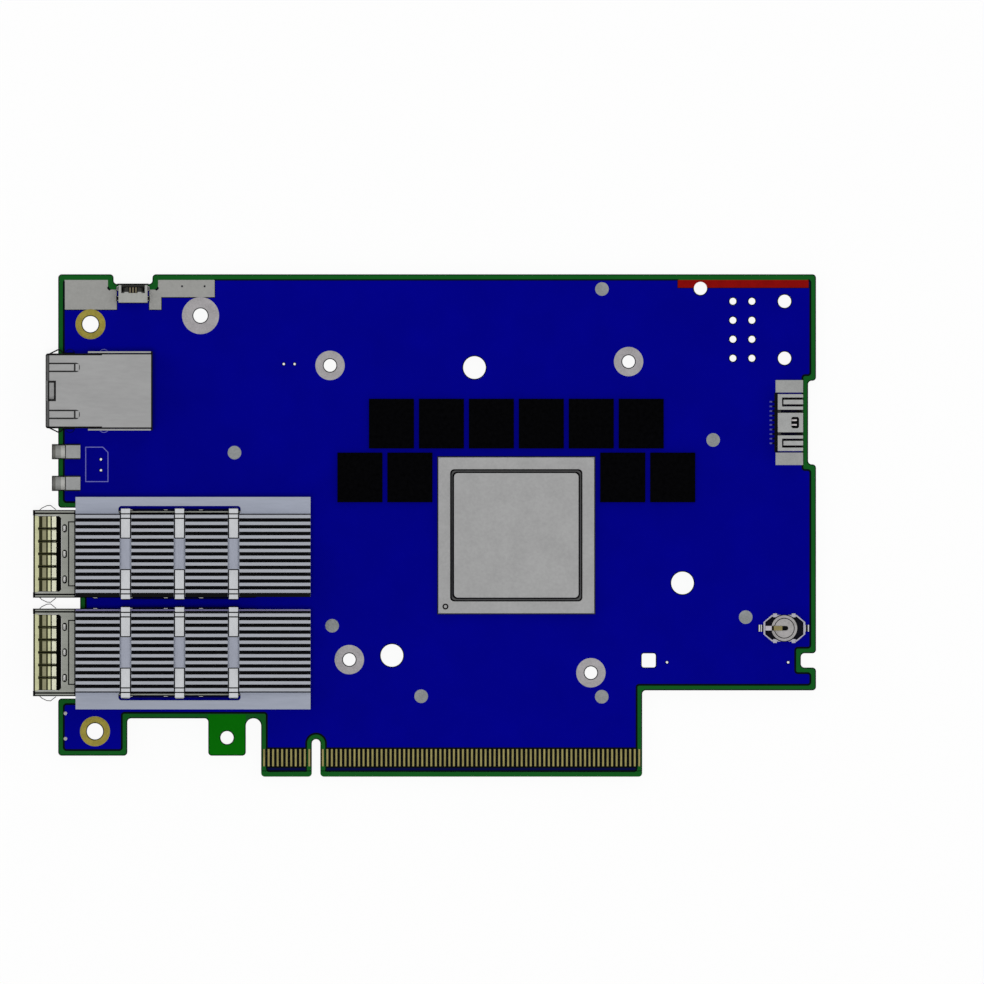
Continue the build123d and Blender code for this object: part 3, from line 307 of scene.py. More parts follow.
laminate_look = dict(roughness=0.42, depth=0.12, effect=glass_weave, scale=weave_scale, bump=0.05,
                     bump_size=0.01, shine=laminate_shine)
board_finish = finish("laminate_and_mask", rim_green, **laminate_look)
patch(board_finish, tab_green, x=tab_x, y=tab_y)
patch(board_finish, mask_blue, z=mask_field_z)
patch(board_finish, contact_ground, x=contact_ground_x, y=contact_ground_y, z=mask_field_z)
patch(board_finish, contact_fade, x=contact_ground_x, y=contact_fade_y, z=mask_field_z)
dress("circuit_board", board_finish)


# Underside mask: the same blue solder mask printed on the back of the board, over the same outline
# and round the same holes, with no bare ground lands there.
mask_sheet = 0.02
masked_pieces = ("circuit_board", "ground_lands", "red_edge_strip")
face_tolerance = 0.001 * mm


def new_piece(name, mesh, material):
    """A piece of the object, at the origin, that rides with the card and has one finish."""
    piece = bpy.data.objects.new(name, mesh)
    bpy.context.scene.collection.objects.link(piece)
    mesh.materials.clear()
    mesh.materials.append(material)
    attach(piece, "root")
    return piece


def mesh_from(name, form):
    """A mesh made from a bmesh, with its doubles merged and its faces turned outwards."""
    bmesh.ops.remove_doubles(form, verts=form.verts, dist=weld_distance)
    bmesh.ops.recalc_face_normals(form, faces=form.faces)
    mesh = bpy.data.meshes.new(name)
    form.to_mesh(mesh)
    form.free()
    return mesh


def thicken(sheet, z):
    """Gives a flat sheet of faces its other side, at another height, with walls between the two."""
    rise = bmesh.ops.extrude_face_region(sheet, geom=list(sheet.faces))
    for item in rise["geom"]:
        if isinstance(item, bmesh.types.BMVert):
            item.co.z = z


def sheet_of(names, low, high):
    """The faces of some pieces that lie whole between two heights, joined at their edges."""
    sheet = bmesh.new()
    for name in names:
        sheet.from_mesh(nodes[name].data)
    others = [face for face in sheet.faces if any(not low <= vert.co.z <= high for vert in face.verts)]
    bmesh.ops.delete(sheet, geom=others, context="FACES")
    bmesh.ops.remove_doubles(sheet, verts=sheet.verts, dist=weld_distance)
    return sheet


def underside_mask():
    """The upper faces of the mask field and of the lands in it, laid on the back and given a thickness."""
    sheet = sheet_of(masked_pieces, board_face - face_tolerance, math.inf)
    for vert in sheet.verts:
        vert.co.z = board_back
    thicken(sheet, board_back - mask_sheet * mm)
    return mesh_from("underside_mask", sheet)


mask_finish = finish("underside_solder_mask", mask_blue, **laminate_look)
patch(mask_finish, contact_ground, x=contact_ground_x, y=contact_ground_y)
patch(mask_finish, contact_fade, x=contact_ground_x, y=contact_fade_y)
new_piece("underside_mask", underside_mask(), mask_finish)


# Edge lines: painted shade, as a thin dark line along the milled edge of the laminate and the rounded
# border of the mask, along every outline and round every hole of the component side.
line_width = 0.22
line_height = 0.01
edge_shade_tone = (7, 12, 16)
rim_drop = 0.05


def edge_lines():
    """Narrow strips inside the outlines of the mask field and of the bare rim, with a small thickness."""
    lines = bmesh.new()
    for level in (board_face, board_face - rim_drop * mm):
        sheet = sheet_of(["circuit_board"], level - face_tolerance, level + face_tolerance)
        made = bmesh.ops.inset_region(sheet, faces=list(sheet.faces), thickness=line_width * mm,
                                      use_boundary=True, use_even_offset=False)
        strip = set(made["faces"])
        bmesh.ops.delete(sheet, geom=[face for face in sheet.faces if face not in strip], context="FACES")
        thicken(sheet, level + line_height * mm)
        part = bpy.data.meshes.new("edge_line_part")
        sheet.to_mesh(part)
        sheet.free()
        lines.from_mesh(part)
        bpy.data.meshes.remove(part)
    return mesh_from("edge_lines", lines)


# A dark finish for the lines of painted shade.
edge_shade_finish = finish("edge_line", edge_shade_tone, roughness=0.6, depth=0.2, scale=900.0, shine=laminate_shine)
new_piece("edge_lines", edge_lines(), edge_shade_finish)


# Edge contacts: rows of hard gold fingers plated on both faces of the tongue, on copper whose etched
# flanks and thin borders stay dark.
contact_middle_x = 58.55
contact_pitch = 1.0
contact_bright = 0.2
contact_border = (20, 18, 16)
gold_finish = metal("hard_gold", (146, 138, 88), roughness=0.36, depth=0.2, scale=900.0, stretch=(1, 0.15, 1),
                    bump=0.05)
gold_tree = gold_finish.node_tree
from_middle = math_node(gold_tree, "SUBTRACT", axis_value(gold_tree, 0), place(contact_middle_x, 0).x)
from_middle = math_node(gold_tree, "PINGPONG", from_middle, contact_pitch / 2 * mm)
repaint(gold_finish, math_node(gold_tree, "GREATER_THAN", from_middle, contact_bright * mm), contact_border)
dress(["edge_contacts_top", "edge_contacts_underside"], gold_finish)


# Ring lands: bare gold rings round the bracket holes and bare tinned rings round the fixing holes,
# on both faces, with tinned round lands between the parts.
ring_thickness = 0.035
bracket_holes = ((7.14, 100.11), (8.14, 10.04))
bracket_ring = (1.8, 3.32)
fixing_holes = ((60.14, 90.99), (126.19, 91.84), (64.41, 25.9), (117.85, 23.0))
fixing_ring = (1.4, 3.25)
post_hole = ((31.49, 102.01),)
post_ring = (1.6, 4.1)
ring_steps = 64
ring_gold = metal("bare_gold_ring", (150, 138, 64), roughness=0.4, depth=0.15, scale=700.0)
tin_finish = metal("bare_tin", (161, 158, 160), roughness=0.45, depth=0.12, scale=500.0)
matt_tin_finish = metal("matt_tin", (141, 144, 145), roughness=0.5, depth=0.12, scale=500.0)


def spun_points(form, section, steps):
    """Points of a section, given as radii and heights, at each step of a turn about the origin."""
    turns = [2 * math.pi * step / steps for step in range(steps)]
    return [[form.verts.new((r * mm * math.cos(turn), r * mm * math.sin(turn), z * mm)) for r, z in section]
            for turn in turns]


def ring_mesh(name, inner, outer, low, high, steps):
    """A flat ring about the origin, with four faces to a step."""
    form = bmesh.new()
    loops = spun_points(form, ((inner, low), (outer, low), (outer, high), (inner, high)), steps)
    for step in range(steps):
        here, there = loops[step], loops[(step + 1) % steps]
        for side in range(4):
            form.faces.new((here[side], here[side - 1], there[side - 1], there[side]))
    return mesh_from(name, form)


def repeat_tree():
    """Sets one small piece at every point of a mesh, as real faces with one finish."""
    tree = bpy.data.node_groups.new("piece_at_each_point", "GeometryNodeTree")
    for title, kind in (("Points", "NodeSocketGeometry"), ("Piece", "NodeSocketObject"),
                        ("Size", "NodeSocketFloat"), ("Finish", "NodeSocketMaterial")):
        tree.interface.new_socket(title, in_out="INPUT", socket_type=kind)
    tree.interface.new_socket("Geometry", in_out="OUTPUT", socket_type="NodeSocketGeometry")
    start = tree.nodes.new("NodeGroupInput")
    end = tree.nodes.new("NodeGroupOutput")
    item = add(tree, "GeometryNodeObjectInfo", [("Object", start.outputs["Piece"])])
    spots = add(tree, "GeometryNodeMeshToPoints", [("Mesh", start.outputs["Points"])])
    copies = add(tree, "GeometryNodeInstanceOnPoints", [("Points", spots.outputs[0]),
                                                        ("Instance", item.outputs["Geometry"])])
    sized = add(tree, "GeometryNodeScaleInstances", [("Instances", copies.outputs[0])])
    tree.links.new(start.outputs["Size"], sized.inputs["Scale"])
    real = add(tree, "GeometryNodeRealizeInstances", [("Geometry", sized.outputs[0])])
    finished = add(tree, "GeometryNodeSetMaterial", [("Geometry", real.outputs[0]),
                                                     ("Material", start.outputs["Finish"])])
    tree.links.new(finished.outputs[0], end.inputs[0])
    return tree


piece_at_each_point = repeat_tree()


def repeat(name, item_mesh, places, material, size=1.0, smooth=True):
    """One piece made of copies of a small mesh at each of the given places."""
    item = bpy.data.objects.new(name + "_item", item_mesh)
    points = bpy.data.meshes.new(name + "_points")
    points.from_pydata([tuple(spot) for spot in places], [], [])
    carrier = bpy.data.objects.new(name + "_carrier", points)
    bpy.context.scene.collection.objects.link(carrier)
    copies = carrier.modifiers.new("copies", "NODES")
    copies.node_group = piece_at_each_point
    copies[socket_id(piece_at_each_point, "Piece")] = item
    copies[socket_id(piece_at_each_point, "Size")] = size
    copies[socket_id(piece_at_each_point, "Finish")] = material
    made = bpy.data.meshes.new_from_object(carrier.evaluated_get(bpy.context.evaluated_depsgraph_get()))
    carrier.modifiers.remove(copies)
    bpy.data.objects.remove(carrier)
    bpy.data.objects.remove(item)
    made.name = name
    for face in made.polygons:
        face.use_smooth = smooth
    return new_piece(name, made, material)


back_z = (board_back - board_face) / mm - mask_sheet
dress("bracket_hole_lands", ring_gold)
dress("fixing_hole_lands", tin_finish)
dress("round_lands", matt_tin_finish)
for name, holes, ring, material, slot in (
        ("underside_bracket_lands", bracket_holes, bracket_ring, ring_gold, "gold_land"),
        ("underside_fixing_lands", fixing_holes, fixing_ring, tin_finish, "tinned_copper"),
        ("underside_post_land", post_hole, post_ring, tin_finish, "tinned_copper")):
    flat = ring_mesh(name, *ring, -ring_thickness, 0, ring_steps)
    repeat(name, flat, [place(x, y, back_z) for x, y in holes], material, smooth=False)


# Plated vias and pads: holes drilled and plated through, ringed by oxidised copper and filled with tin,
# with small tinned pads and dark dots etched between the parts.
via_places = ((134.7, 25.3), (161.5, 25.3), (49.9, 91.3), (52.3, 91.3), (9.45, 70.2), (9.45, 67.8))
via_ring = (0.26, 0.42)
pad_places = ((1.6, 14.0), (1.6, 8.4))
disc_core = 0.0005
pad_disc = (disc_core, 0.4)
land_dots = ((27.4, 108.5), (32.4, 108.5))
dot_disc = (disc_core, 0.22)
via_steps = 24
dark_finish = finish("oxidised_copper", (10, 10, 22), roughness=0.6, depth=0.2, scale=900.0,
                     shine=laminate_shine)
pale_tin = metal("filled_via", (226, 226, 228), roughness=0.4, depth=0.06, scale=900.0)
for name, spots, ring, material in (
        ("via_rings", via_places, via_ring, dark_finish),
        ("via_fillings", via_places, (disc_core, via_ring[0]), pale_tin),
        ("small_pads", pad_places, pad_disc, tin_finish),
        ("land_dots", land_dots, dot_disc, dark_finish)):
    flat = ring_mesh(name, *ring, 0, ring_thickness, via_steps)
    repeat(name, flat, [place(x, y) for x, y in spots], material, smooth=False)


# Ground lands: bare tinned copper left and right of the small socket, etched from the board's own copper
# and left free of the mask, with which they lie flush.
land_finish = finish("bare_ground_land", (154, 154, 151), metallic=0.9, roughness=0.5, depth=0.04,
                     scale=300.0)
dress("ground_lands", land_finish)


# Red strip and printed outline: inks screen-printed along the upper edge and beside the status lights,
# where the outline stands for a part that isn't fitted.
red_finish = finish("red_ink", (128, 12, 10), roughness=0.5, depth=0.15, scale=600.0, shine=laminate_shine)
dress("red_edge_strip", red_finish)
print_finish = finish("pale_print", (108, 108, 184), roughness=0.65, depth=0.1, scale=1500.0)
dress("printed_outline", print_finish)


# Processor: a laminate package soldered down on a grid of balls, under a stamped and nickel-plated lid.
# The lid's drawn wall and the package's edges carry painted shade as dark lines; the lid has a dark ring
# mark.
ball_finish = metal("solder_ball", (165, 165, 168), roughness=0.35, depth=0.1, scale=1500.0)
package_low, package_high = [Vector(corner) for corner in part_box("processor_substrate")]
package_middle = (package_low + package_high) / 2
processor_balls = 34
processor_ball_pitch = 1.0
processor_ball_width = 0.6
processor_gap = 0.45
ball_swell = 1.15
lid_wall_shades = (((2.17, 2.48), (10, 10, 10)), ((2.48, 2.8), (84, 84, 84)), ((2.8, 3.12), (10, 10, 10)))
lid_mark = (85.68, 37.65)
lid_mark_radii = (0.34, 0.66)
lid_shade_and_mark_line = (14, 14, 14)
package_border = 0.24


def ball_mesh(name, gap, width):
    """A solder ball squeezed between the board and a package, flat where it meets them."""
    form = bmesh.new()
    bmesh.ops.create_uvsphere(form, u_segments=10, v_segments=6, radius=width * mm / 2)
    half = gap * mm / 2
    for vert in form.verts:
        vert.co.z = max(-half, min(half, vert.co.z * ball_swell))
    return mesh_from(name, form)


def grid_places(middle, columns, rows, pitch, z):
    """Places of a grid about a middle, column by column."""
    across = [(i - (columns - 1) / 2) * pitch * mm for i in range(columns)]
    along = [(j - (rows - 1) / 2) * pitch * mm for j in range(rows)]
    return [Vector((middle.x + x, middle.y + y, z)) for x in across for y in along]


processor_spots = grid_places(package_middle, processor_balls, processor_balls, processor_ball_pitch,
                              board_face + processor_gap * mm / 2)
repeat("processor_balls", ball_mesh("processor_ball", processor_gap, processor_ball_width), processor_spots,
       ball_finish)
laminate_finish = finish("package_laminate", (148, 148, 160), roughness=0.5, depth=0.12, effect=glass_weave,
                         scale=weave_scale, bump=0.04, shine=0.2)
lid_finish = metal("nickel_lid", (160, 160, 160), roughness=0.42, depth=0.06, scale=260.0, bump=0.05)
# Painted shade on the lid's drawn wall: dark, then grey, then dark again by height.
for stretch, tone in lid_wall_shades:
    patch(lid_finish, tone, z=stretch)
# Painted shade along the edges of the package, on the laminate and on the lid.
for material in (laminate_finish, lid_finish):
    for axis in (0, 1):
        middle = (package_middle[axis] - board_low[axis]) / mm
        half = (package_high[axis] - package_low[axis]) / 2 / mm
        border = from_line(material.node_tree, axis, middle, half - package_border, half + package_border)
        repaint(material, border, lid_shade_and_mark_line)
dress("processor_substrate", laminate_finish, edge=0.03)
# The lid's dark ring mark, in the same colour.
repaint(lid_finish, around(lid_finish.node_tree, *lid_mark, *lid_mark_radii), lid_shade_and_mark_line)
dress("processor_lid", lid_finish, edge=0.06)


# Memory chips: ten packages moulded in black resin and sawn square, each soldered to the board on two
# banks of small balls.
chip_finish = finish("moulding_compound", (3, 3, 4), roughness=0.55, depth=0.5, scale=1200.0, bump=0.15,
                     shine=0.01)
chip_names = [f"memory_chip_{number}" for number in range(1, 11)]
chip_gap = 0.3
chip_ball_pitch = 0.8
chip_ball_width = 0.45
bank_columns = 3
bank_rows = 11
bank_reach = 2.4
chip_spots = []
for name in chip_names:
    low, high = [Vector(corner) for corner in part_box(name)]
    for side in (-1, 1):
        middle = (low + high) / 2 + Vector((side * bank_reach * mm, 0, 0))
        chip_spots += grid_places(middle, bank_columns, bank_rows, chip_ball_pitch,
                                  board_face + chip_gap * mm / 2)
repeat("memory_balls", ball_mesh("memory_ball", chip_gap, chip_ball_width), chip_spots, ball_finish)
dress(chip_names, chip_finish, edge=0.04)


# Module cages: folded and plated sheet steel, each closed below by a flat tinned plate. A sprung collar
# of gold-coloured alloy lines the nose and bears on the bracket; painted light and shade lie across its
# bends, with a painted highlight on its tails.
port_pair_middle = 38.4
port_half_pitch = 10.9
port_lines = (port_pair_middle + port_half_pitch, port_pair_middle - port_half_pitch)
cage_shade_line = (4, 4, 4)
cage_line_reaches = ((8.8, 9.16), (9.45, 9.82))
cage_roof_z = (9.45, 10)
stop_z = (9.45, 9.6)
stop_shade_x = ((2.17, 2.45), (3.57, 3.85))
stop_shade_reach = (6.92, 7.2)
gasket_highlight_x = (-1.4, -0.3)
finger_pitch = 2.78
finger_edge = (0.12, 0.33)
finger_edge_x = (-4.45, -0.3)
finger_edge_reach = 6.6
finger_gap_shade = (58, 58, 36)
nose_shade_x = (-5.7, -5.1)
nose_shade_z = (9.3, 10)
vent_floor_x = (0.3, 2.4)
vent_shade = (8, 8, 8)
vent_core_x = (1.12, 1.6)
vent_core_reaches = ((-1, 0.6), (5.05, 6.2))
vent_highlight = (252, 252, 250)
gasket_light_and_shade = (((-5.7, -5.15), (14, 14, 10)),
                ((-4.25, -3.5), (44, 44, 28)),
                ((-3.5, -2.66), (138, 136, 108)),
                ((-2.66, -2.28), (48, 48, 30)),
                ((-1.7, -1.4), (40, 40, 26)),
                (gasket_highlight_x, (240, 240, 212)))
gasket_loop_shade = (6, 6, 8)
gasket_loop_reach = (9.74, 12)


def outwards(tree):
    """Distance outwards from the middle line of the nearer port, in metres, negative on its inner side."""
    level = place(0, port_pair_middle).y
    from_pair = math_node(tree, "ABSOLUTE", math_node(tree, "SUBTRACT", axis_value(tree, 1), level))
    return math_node(tree, "SUBTRACT", from_pair, port_half_pitch * mm)


def from_port(tree, low, high):
    """1 between two distances in millimetres to either side of a port's middle line."""
    return between(tree, math_node(tree, "ABSOLUTE", outwards(tree)), low * mm, high * mm)


def all_but(tree, factor):
    """1 where a factor is 0, and 0 where it is 1."""
    return math_node(tree, "SUBTRACT", 1.0, factor)


def pair_of(piece):
    """The names of a piece that the card carries twice, one above the other in the picture."""
    return [side + "_" + piece for side in ("upper", "lower")]


cage_finish = metal("cage_plating", (147, 149, 142), roughness=0.4, depth=0.05, scale=220.0,
                    stretch=(0.2, 1, 1), bump=0.05)
cage_tree = cage_finish.node_tree
# Painted shade: dark lines along the folds of the roof, in front of the heat sinks and across the nose.
for stretch in cage_line_reaches:
    patch(cage_finish, cage_shade_line, z=cage_roof_z, also=[from_port(cage_tree, *stretch)])
for stretch, reach in zip(stop_shade_x, (stop_shade_reach, cage_line_reaches[1])):
    patch(cage_finish, cage_shade_line, x=stretch, z=stop_z, also=[from_port(cage_tree, -1, reach[1])])
patch(cage_finish, cage_shade_line, x=(stop_shade_x[0][0], stop_shade_x[1][1]), z=stop_z,
      also=[from_port(cage_tree, *stop_shade_reach)])
patch(cage_finish, cage_shade_line, x=nose_shade_x, z=nose_shade_z)
dress(pair_of("cage_shell"), cage_finish)
gasket_finish = metal("gasket_alloy", (192, 193, 154), roughness=0.32, depth=0.1, scale=700.0,
                      stretch=(0.3, 1, 1))
# Painted light and shade in bands across the bends of the fingers, with a painted highlight on their tails.
for stretch, tone in gasket_light_and_shade:
    patch(gasket_finish, tone, x=stretch)
gasket_tree = gasket_finish.node_tree
# Painted shade where the collar wraps round the cages' sides.
repaint(gasket_finish, from_port(gasket_tree, *gasket_loop_reach), gasket_loop_shade)
# Painted shade in the gaps between the fingers.
edge_away = math_node(gasket_tree, "PINGPONG", outwards(gasket_tree), finger_pitch / 2 * mm)
patch(gasket_finish, finger_gap_shade, x=finger_edge_x,
      also=[between(gasket_tree, edge_away, *[away * mm for away in finger_edge]),
            from_port(gasket_tree, -1, finger_edge_reach)])
# The painted highlight on the tails is left without metal, so that it shows pale.
metal_but_highlight = all_but(gasket_tree, stretch_factor(gasket_tree, x=gasket_highlight_x))
gasket_tree.links.new(metal_but_highlight, gasket_tree.nodes["Principled BSDF"].inputs["Metallic"])
dress(pair_of("cage_gasket"), gasket_finish)
base_finish = finish("matt_plate", (214, 214, 210), metallic=0.2, roughness=0.6, depth=0.06, scale=220.0,
                     shine=0.2)
# Painted shade under the vents, with a painted highlight in the middle of each.
patch(base_finish, vent_shade, x=vent_floor_x)
for reach in vent_core_reaches:
    patch(base_finish, vent_highlight, x=vent_core_x, also=[from_port(base_finish.node_tree, *reach)])
dress(pair_of("cage_base"), base_finish)


# Nose floors: thin dark strips of painted shade, laid in the openings of the base plates under the sprung
# fingers.
nose_floor_x = (-5.5, 0.68)
nose_floor_half = 8.4
nose_floor_z = (0.06, 0.22)
nose_floor_shade = (6, 6, 6)


def block_mesh(name, low, high):
    """A rectangular block between two corners."""
    form = bmesh.new()
    bmesh.ops.create_cube(form, size=1.0)
    for vert in form.verts:
        vert.co = Vector([low[i] if vert.co[i] < 0 else high[i] for i in range(3)])
    return mesh_from(name, form)


nose_shade_finish = finish("nose_floor", nose_floor_shade, metallic=0.6, roughness=0.6, depth=0.2, scale=500.0,
                      shine=0.1)
for name, middle in zip(pair_of("nose_floor"), port_lines):
    low = place(nose_floor_x[0], middle - nose_floor_half, nose_floor_z[0])
    high = place(nose_floor_x[1], middle + nose_floor_half, nose_floor_z[1])
    new_piece(name, block_mesh(name, low, high), nose_shade_finish)


# Host connectors: black moulded blocks closed into the backs of the cages, with two rows of sprung
# contacts under a thin coat of gold.
black_finish = finish("black_moulding", (8, 8, 9), roughness=0.5, depth=0.3, scale=900.0, bump=0.12,
                      shine=0.05)
contact_finish = metal("gold_flash", (190, 160, 84), roughness=0.3, depth=0.08, scale=900.0)
dress(pair_of("host_housing"), black_finish, edge=0.06)
dress(pair_of("host_contacts"), contact_finish)


# Riding heat sinks: extruded and clear-anodised aluminium with painted shade in the channels between the
# fins, cross-cut for the straps of the clips. The clips are bright spring steel, hooked over the cages'
# sides.
channel_shade = (7, 7, 11)
channel_z = (10.8, 13.1)
channel_reach = (-9.7, 8.6)
sink_ends = (3.83, 55.83)
fin_inner_side = (-8.63, -8.59)
face_skin = 0.02
band_shade = (124, 120, 156)
band_y = (36.7, 37.2)
fin_shade_reach = (8.64, 8.9)
fin_tone = (163, 166, 174)
fin_z = (13.1, 14)
groove_half = 1.27
strap_xs = (14.89, 26.84, 38.79)
strap_half = 1.05
strap_flat = 3.45
strap_flat_shade = (156, 160, 173)
strap_shade_reaches = ((3.36, 3.6), (7.72, 7.99), (8.72, 8.99))
strap_shade_tone = (8, 8, 10)
rail_reach = (9.3, 10.7)
rail_edge_z = (8.8, 9.2)
rail_shade = (9, 9, 30)


def at_straps(tree, half):
    """1 within a half width of the middle of any of the three straps, 0 elsewhere."""
    found = [stretch_factor(tree, x=(x - half, x + half)) for x in strap_xs]
    return math_node(tree, "ADD", math_node(tree, "ADD", found[0], found[1]), found[2])


def outwards_between(tree, low, high):
    """1 between two distances in millimetres outwards from a port's middle line."""
    return between(tree, outwards(tree), low * mm, high * mm)


def on_open_faces(tree):
    """1 on the ends of the fins and on their innermost side, which stay as pale as the tops."""
    within = stretch_factor(tree, x=(sink_ends[0] + face_skin, sink_ends[1] - face_skin))
    groove_walls = math_node(tree, "SUBTRACT", at_straps(tree, groove_half),
                             at_straps(tree, groove_half - 2 * face_skin))
    ends = math_node(tree, "MAXIMUM", all_but(tree, within), groove_walls)
    return math_node(tree, "MAXIMUM", ends, outwards_between(tree, *fin_inner_side))


sink_finish = finish("clear_anodising", (155, 160, 174), metallic=0.85, roughness=0.42, depth=0.05,
                     scale=300.0, stretch=(0.08, 1, 1), bump=0.08)
sink_tree = sink_finish.node_tree
patch(sink_finish, fin_tone, z=fin_z)
flat_stretch = all_of(sink_tree, [at_straps(sink_tree, groove_half), from_port(sink_tree, -1, strap_flat)])
pale = math_node(sink_tree, "MAXIMUM", flat_stretch, on_open_faces(sink_tree))
# Painted shade in the channels between the fins, left off the fins' ends, their inner side and the flat under
# each strap.
patch(sink_finish, channel_shade, z=channel_z,
      also=[outwards_between(sink_tree, *channel_reach), all_but(sink_tree, pale)])
# Painted shade, the base colour darkened, on the strip between the two ports.
patch(sink_finish, band_shade, y=band_y, z=channel_z)
# Painted shade along the outer side of the fin block.
repaint(sink_finish, outwards_between(sink_tree, *fin_shade_reach), channel_shade)
dress(pair_of("heat_sink"), sink_finish, edge=0.05)
clip_finish = metal("spring_steel", (197, 199, 202), roughness=0.3, depth=0.05, scale=400.0,
                    stretch=(1, 0.15, 1), bump=0.05)
clip_tree = clip_finish.node_tree
# Painted shade on the clip: its flat middle darker than its sloped arms, dark lines at its bends and ends.
repaint(clip_finish, from_port(clip_tree, -1, strap_flat), strap_flat_shade)
for reach in strap_shade_reaches:
    repaint(clip_finish, from_port(clip_tree, *reach), strap_shade_tone)
# Painted shade on the rail's top between the straps.
patch(clip_finish, rail_shade, z=rail_edge_z,
      also=[from_port(clip_tree, *rail_reach), all_but(clip_tree, at_straps(clip_tree, strap_half))])
dress(pair_of("heat_sink_clip"), clip_finish, edge=0.03)


# Network jack: a shield and a rear cover folded from plated sheet, snapped over a grey moulded block that
# holds eight sprung wires.
jack_middle = 85.35
jack_front_x = (-2.6, -2.1)
jack_front_shade = (86, 86, 86)
jack_line_x = ((-3, -2.6), (-2.1, -1.96))
shade_line_tone = (22, 22, 22)
jack_roof_z = (13.2, 14)
jack_roof_reach = (8.06, 8.31)
jack_spring_reach = (8.32, 10)
jack_edge_x = (-2.6, 9.7)
jack_edge_reach = (7.86, 8.4)
jack_rear_x = (20.5, 21)
jack_window_x = (-1.95, -0.95)
jack_window_reach = (-1, 1.8)
jack_slot_x = (3.85, 4.6)
jack_slot_reach = (4.45, 5.95)
jack_inner_shade = (14, 14, 14)
jack_sheet = (157, 157, 157)
jack_plating = dict(roughness=0.4, depth=0.05, scale=240.0, stretch=(0.25, 1, 1), bump=0.05)


def from_jack(tree, low, high):
    """1 between two distances in millimetres to either side of the jack's middle line."""
    return from_line(tree, 1, jack_middle, low, high)


shield_finish = metal("jack_plating", jack_sheet, **jack_plating)
shield_tree = shield_finish.node_tree
# Painted shade on the shield: a darker front strip, dark lines across its front, along its roof edges and
# over its side springs.
patch(shield_finish, jack_front_shade, x=jack_front_x)
for stretch in jack_line_x:
    patch(shield_finish, shade_line_tone, x=stretch)
repaint(shield_finish, from_jack(shield_tree, *jack_spring_reach), shade_line_tone)
patch(shield_finish, shade_line_tone, z=jack_roof_z, also=[from_jack(shield_tree, *jack_roof_reach)])
patch(shield_finish, shade_line_tone, x=jack_edge_x, z=jack_roof_z, also=[from_jack(shield_tree, *jack_edge_reach)])
dress("jack_shield", shield_finish)
cover_finish = metal("jack_cover_plating", jack_sheet, **jack_plating)
# Painted shade along the cover's rear edge.
patch(cover_finish, shade_line_tone, x=jack_rear_x)
dress("jack_rear_cover", cover_finish)
housing_finish = finish("jack_moulding", (160, 160, 160), roughness=0.55, depth=0.1, scale=900.0, bump=0.12)
housing_tree = housing_finish.node_tree
# Painted shade over the moulded block, except at the latch window and the slots, which stay grey.
window = all_of(housing_tree, [stretch_factor(housing_tree, x=jack_window_x),
                               from_jack(housing_tree, *jack_window_reach)])
slots = all_of(housing_tree, [stretch_factor(housing_tree, x=jack_slot_x),
                              from_jack(housing_tree, *jack_slot_reach)])
lit = math_node(housing_tree, "ADD", window, slots)
repaint(housing_finish, all_but(housing_tree, lit), jack_inner_shade)
dress("jack_housing", housing_finish, edge=0.05)
dress("jack_contacts", contact_finish)


# Status lights: diffusing lenses that reach over the board's edge, held in pale moulded bodies on tinned
# leads that are soldered through the board.
light_lines = (71.9, 64.9)
light_shade_border = (1.42, 1.8)
lens_light_and_shade = (((-1.5, -1.22), (16, 16, 15)),
              ((-1.22, -0.6), (98, 98, 94)),
              ((0.6, 1.5), (176, 176, 172)))
body_shade_x = (1.4, 1.72)
light_finish = finish("light_moulding", (150, 151, 151), roughness=0.5, depth=0.08, scale=800.0)
# Painted shade: a dark line where the body meets the lens.
patch(light_finish, shade_line_tone, x=body_shade_x)
lens_finish = finish("diffusing_lens", (140, 141, 138), roughness=0.25, depth=0.06, scale=500.0, shine=0.3)
# Painted light and shade across the lens: dark at its outer end, pale towards the body.
for stretch, tone in lens_light_and_shade:
    patch(lens_finish, tone, x=stretch)
# Painted shade along both sides of each light.
for material in (light_finish, lens_finish):
    for line in light_lines:
        repaint(material, from_line(material.node_tree, 1, line, *light_shade_border), shade_line_tone)
lead_finish = metal("tinned_lead", (176, 176, 174), roughness=0.35, depth=0.08, scale=700.0)
dress(pair_of("light_body"), light_finish, edge=0.05)
dress(pair_of("light_lens"), lens_finish, edge=0.12)
dress("status_light_leads", lead_finish)


# Small USB socket: a shell folded from plated sheet and soldered down in the edge notch, round a black
# moulded tongue with gold contacts.
usb_middle = 16.55
usb_mouth_y = (108.78, 110)
usb_window_y = (107.25, 108.8)
usb_window_reach = (-1, 2.6)
usb_window_shade = (52, 52, 50)
usb_side_reach = (3.2, 3.6)
usb_rear_y = (104.5, 104.9)
usb_finish = metal("usb_plating", (160, 161, 157), roughness=0.38, depth=0.06, scale=300.0,
                   stretch=(1, 0.25, 1), bump=0.05)
# Painted shade: dark lines at the mouth, along both sides and at the rear of the shell, and a darker stretch
# behind the mouth.
patch(usb_finish, shade_line_tone, y=usb_mouth_y)
patch(usb_finish, usb_window_shade, y=usb_window_y,
      also=[from_line(usb_finish.node_tree, 0, usb_middle, *usb_window_reach)])
repaint(usb_finish, from_line(usb_finish.node_tree, 0, usb_middle, *usb_side_reach), shade_line_tone)
patch(usb_finish, shade_line_tone, y=usb_rear_y)
dress("usb_shell", usb_finish, edge=0.02)
dress("usb_tongue", black_finish, edge=0.03)
# The contacts are coloured darker, as painted shade inside the shell.
usb_contact_shaded = metal("usb_contact", (120, 112, 92), roughness=0.35, depth=0.1, scale=900.0)
dress("usb_contacts", usb_contact_shaded)


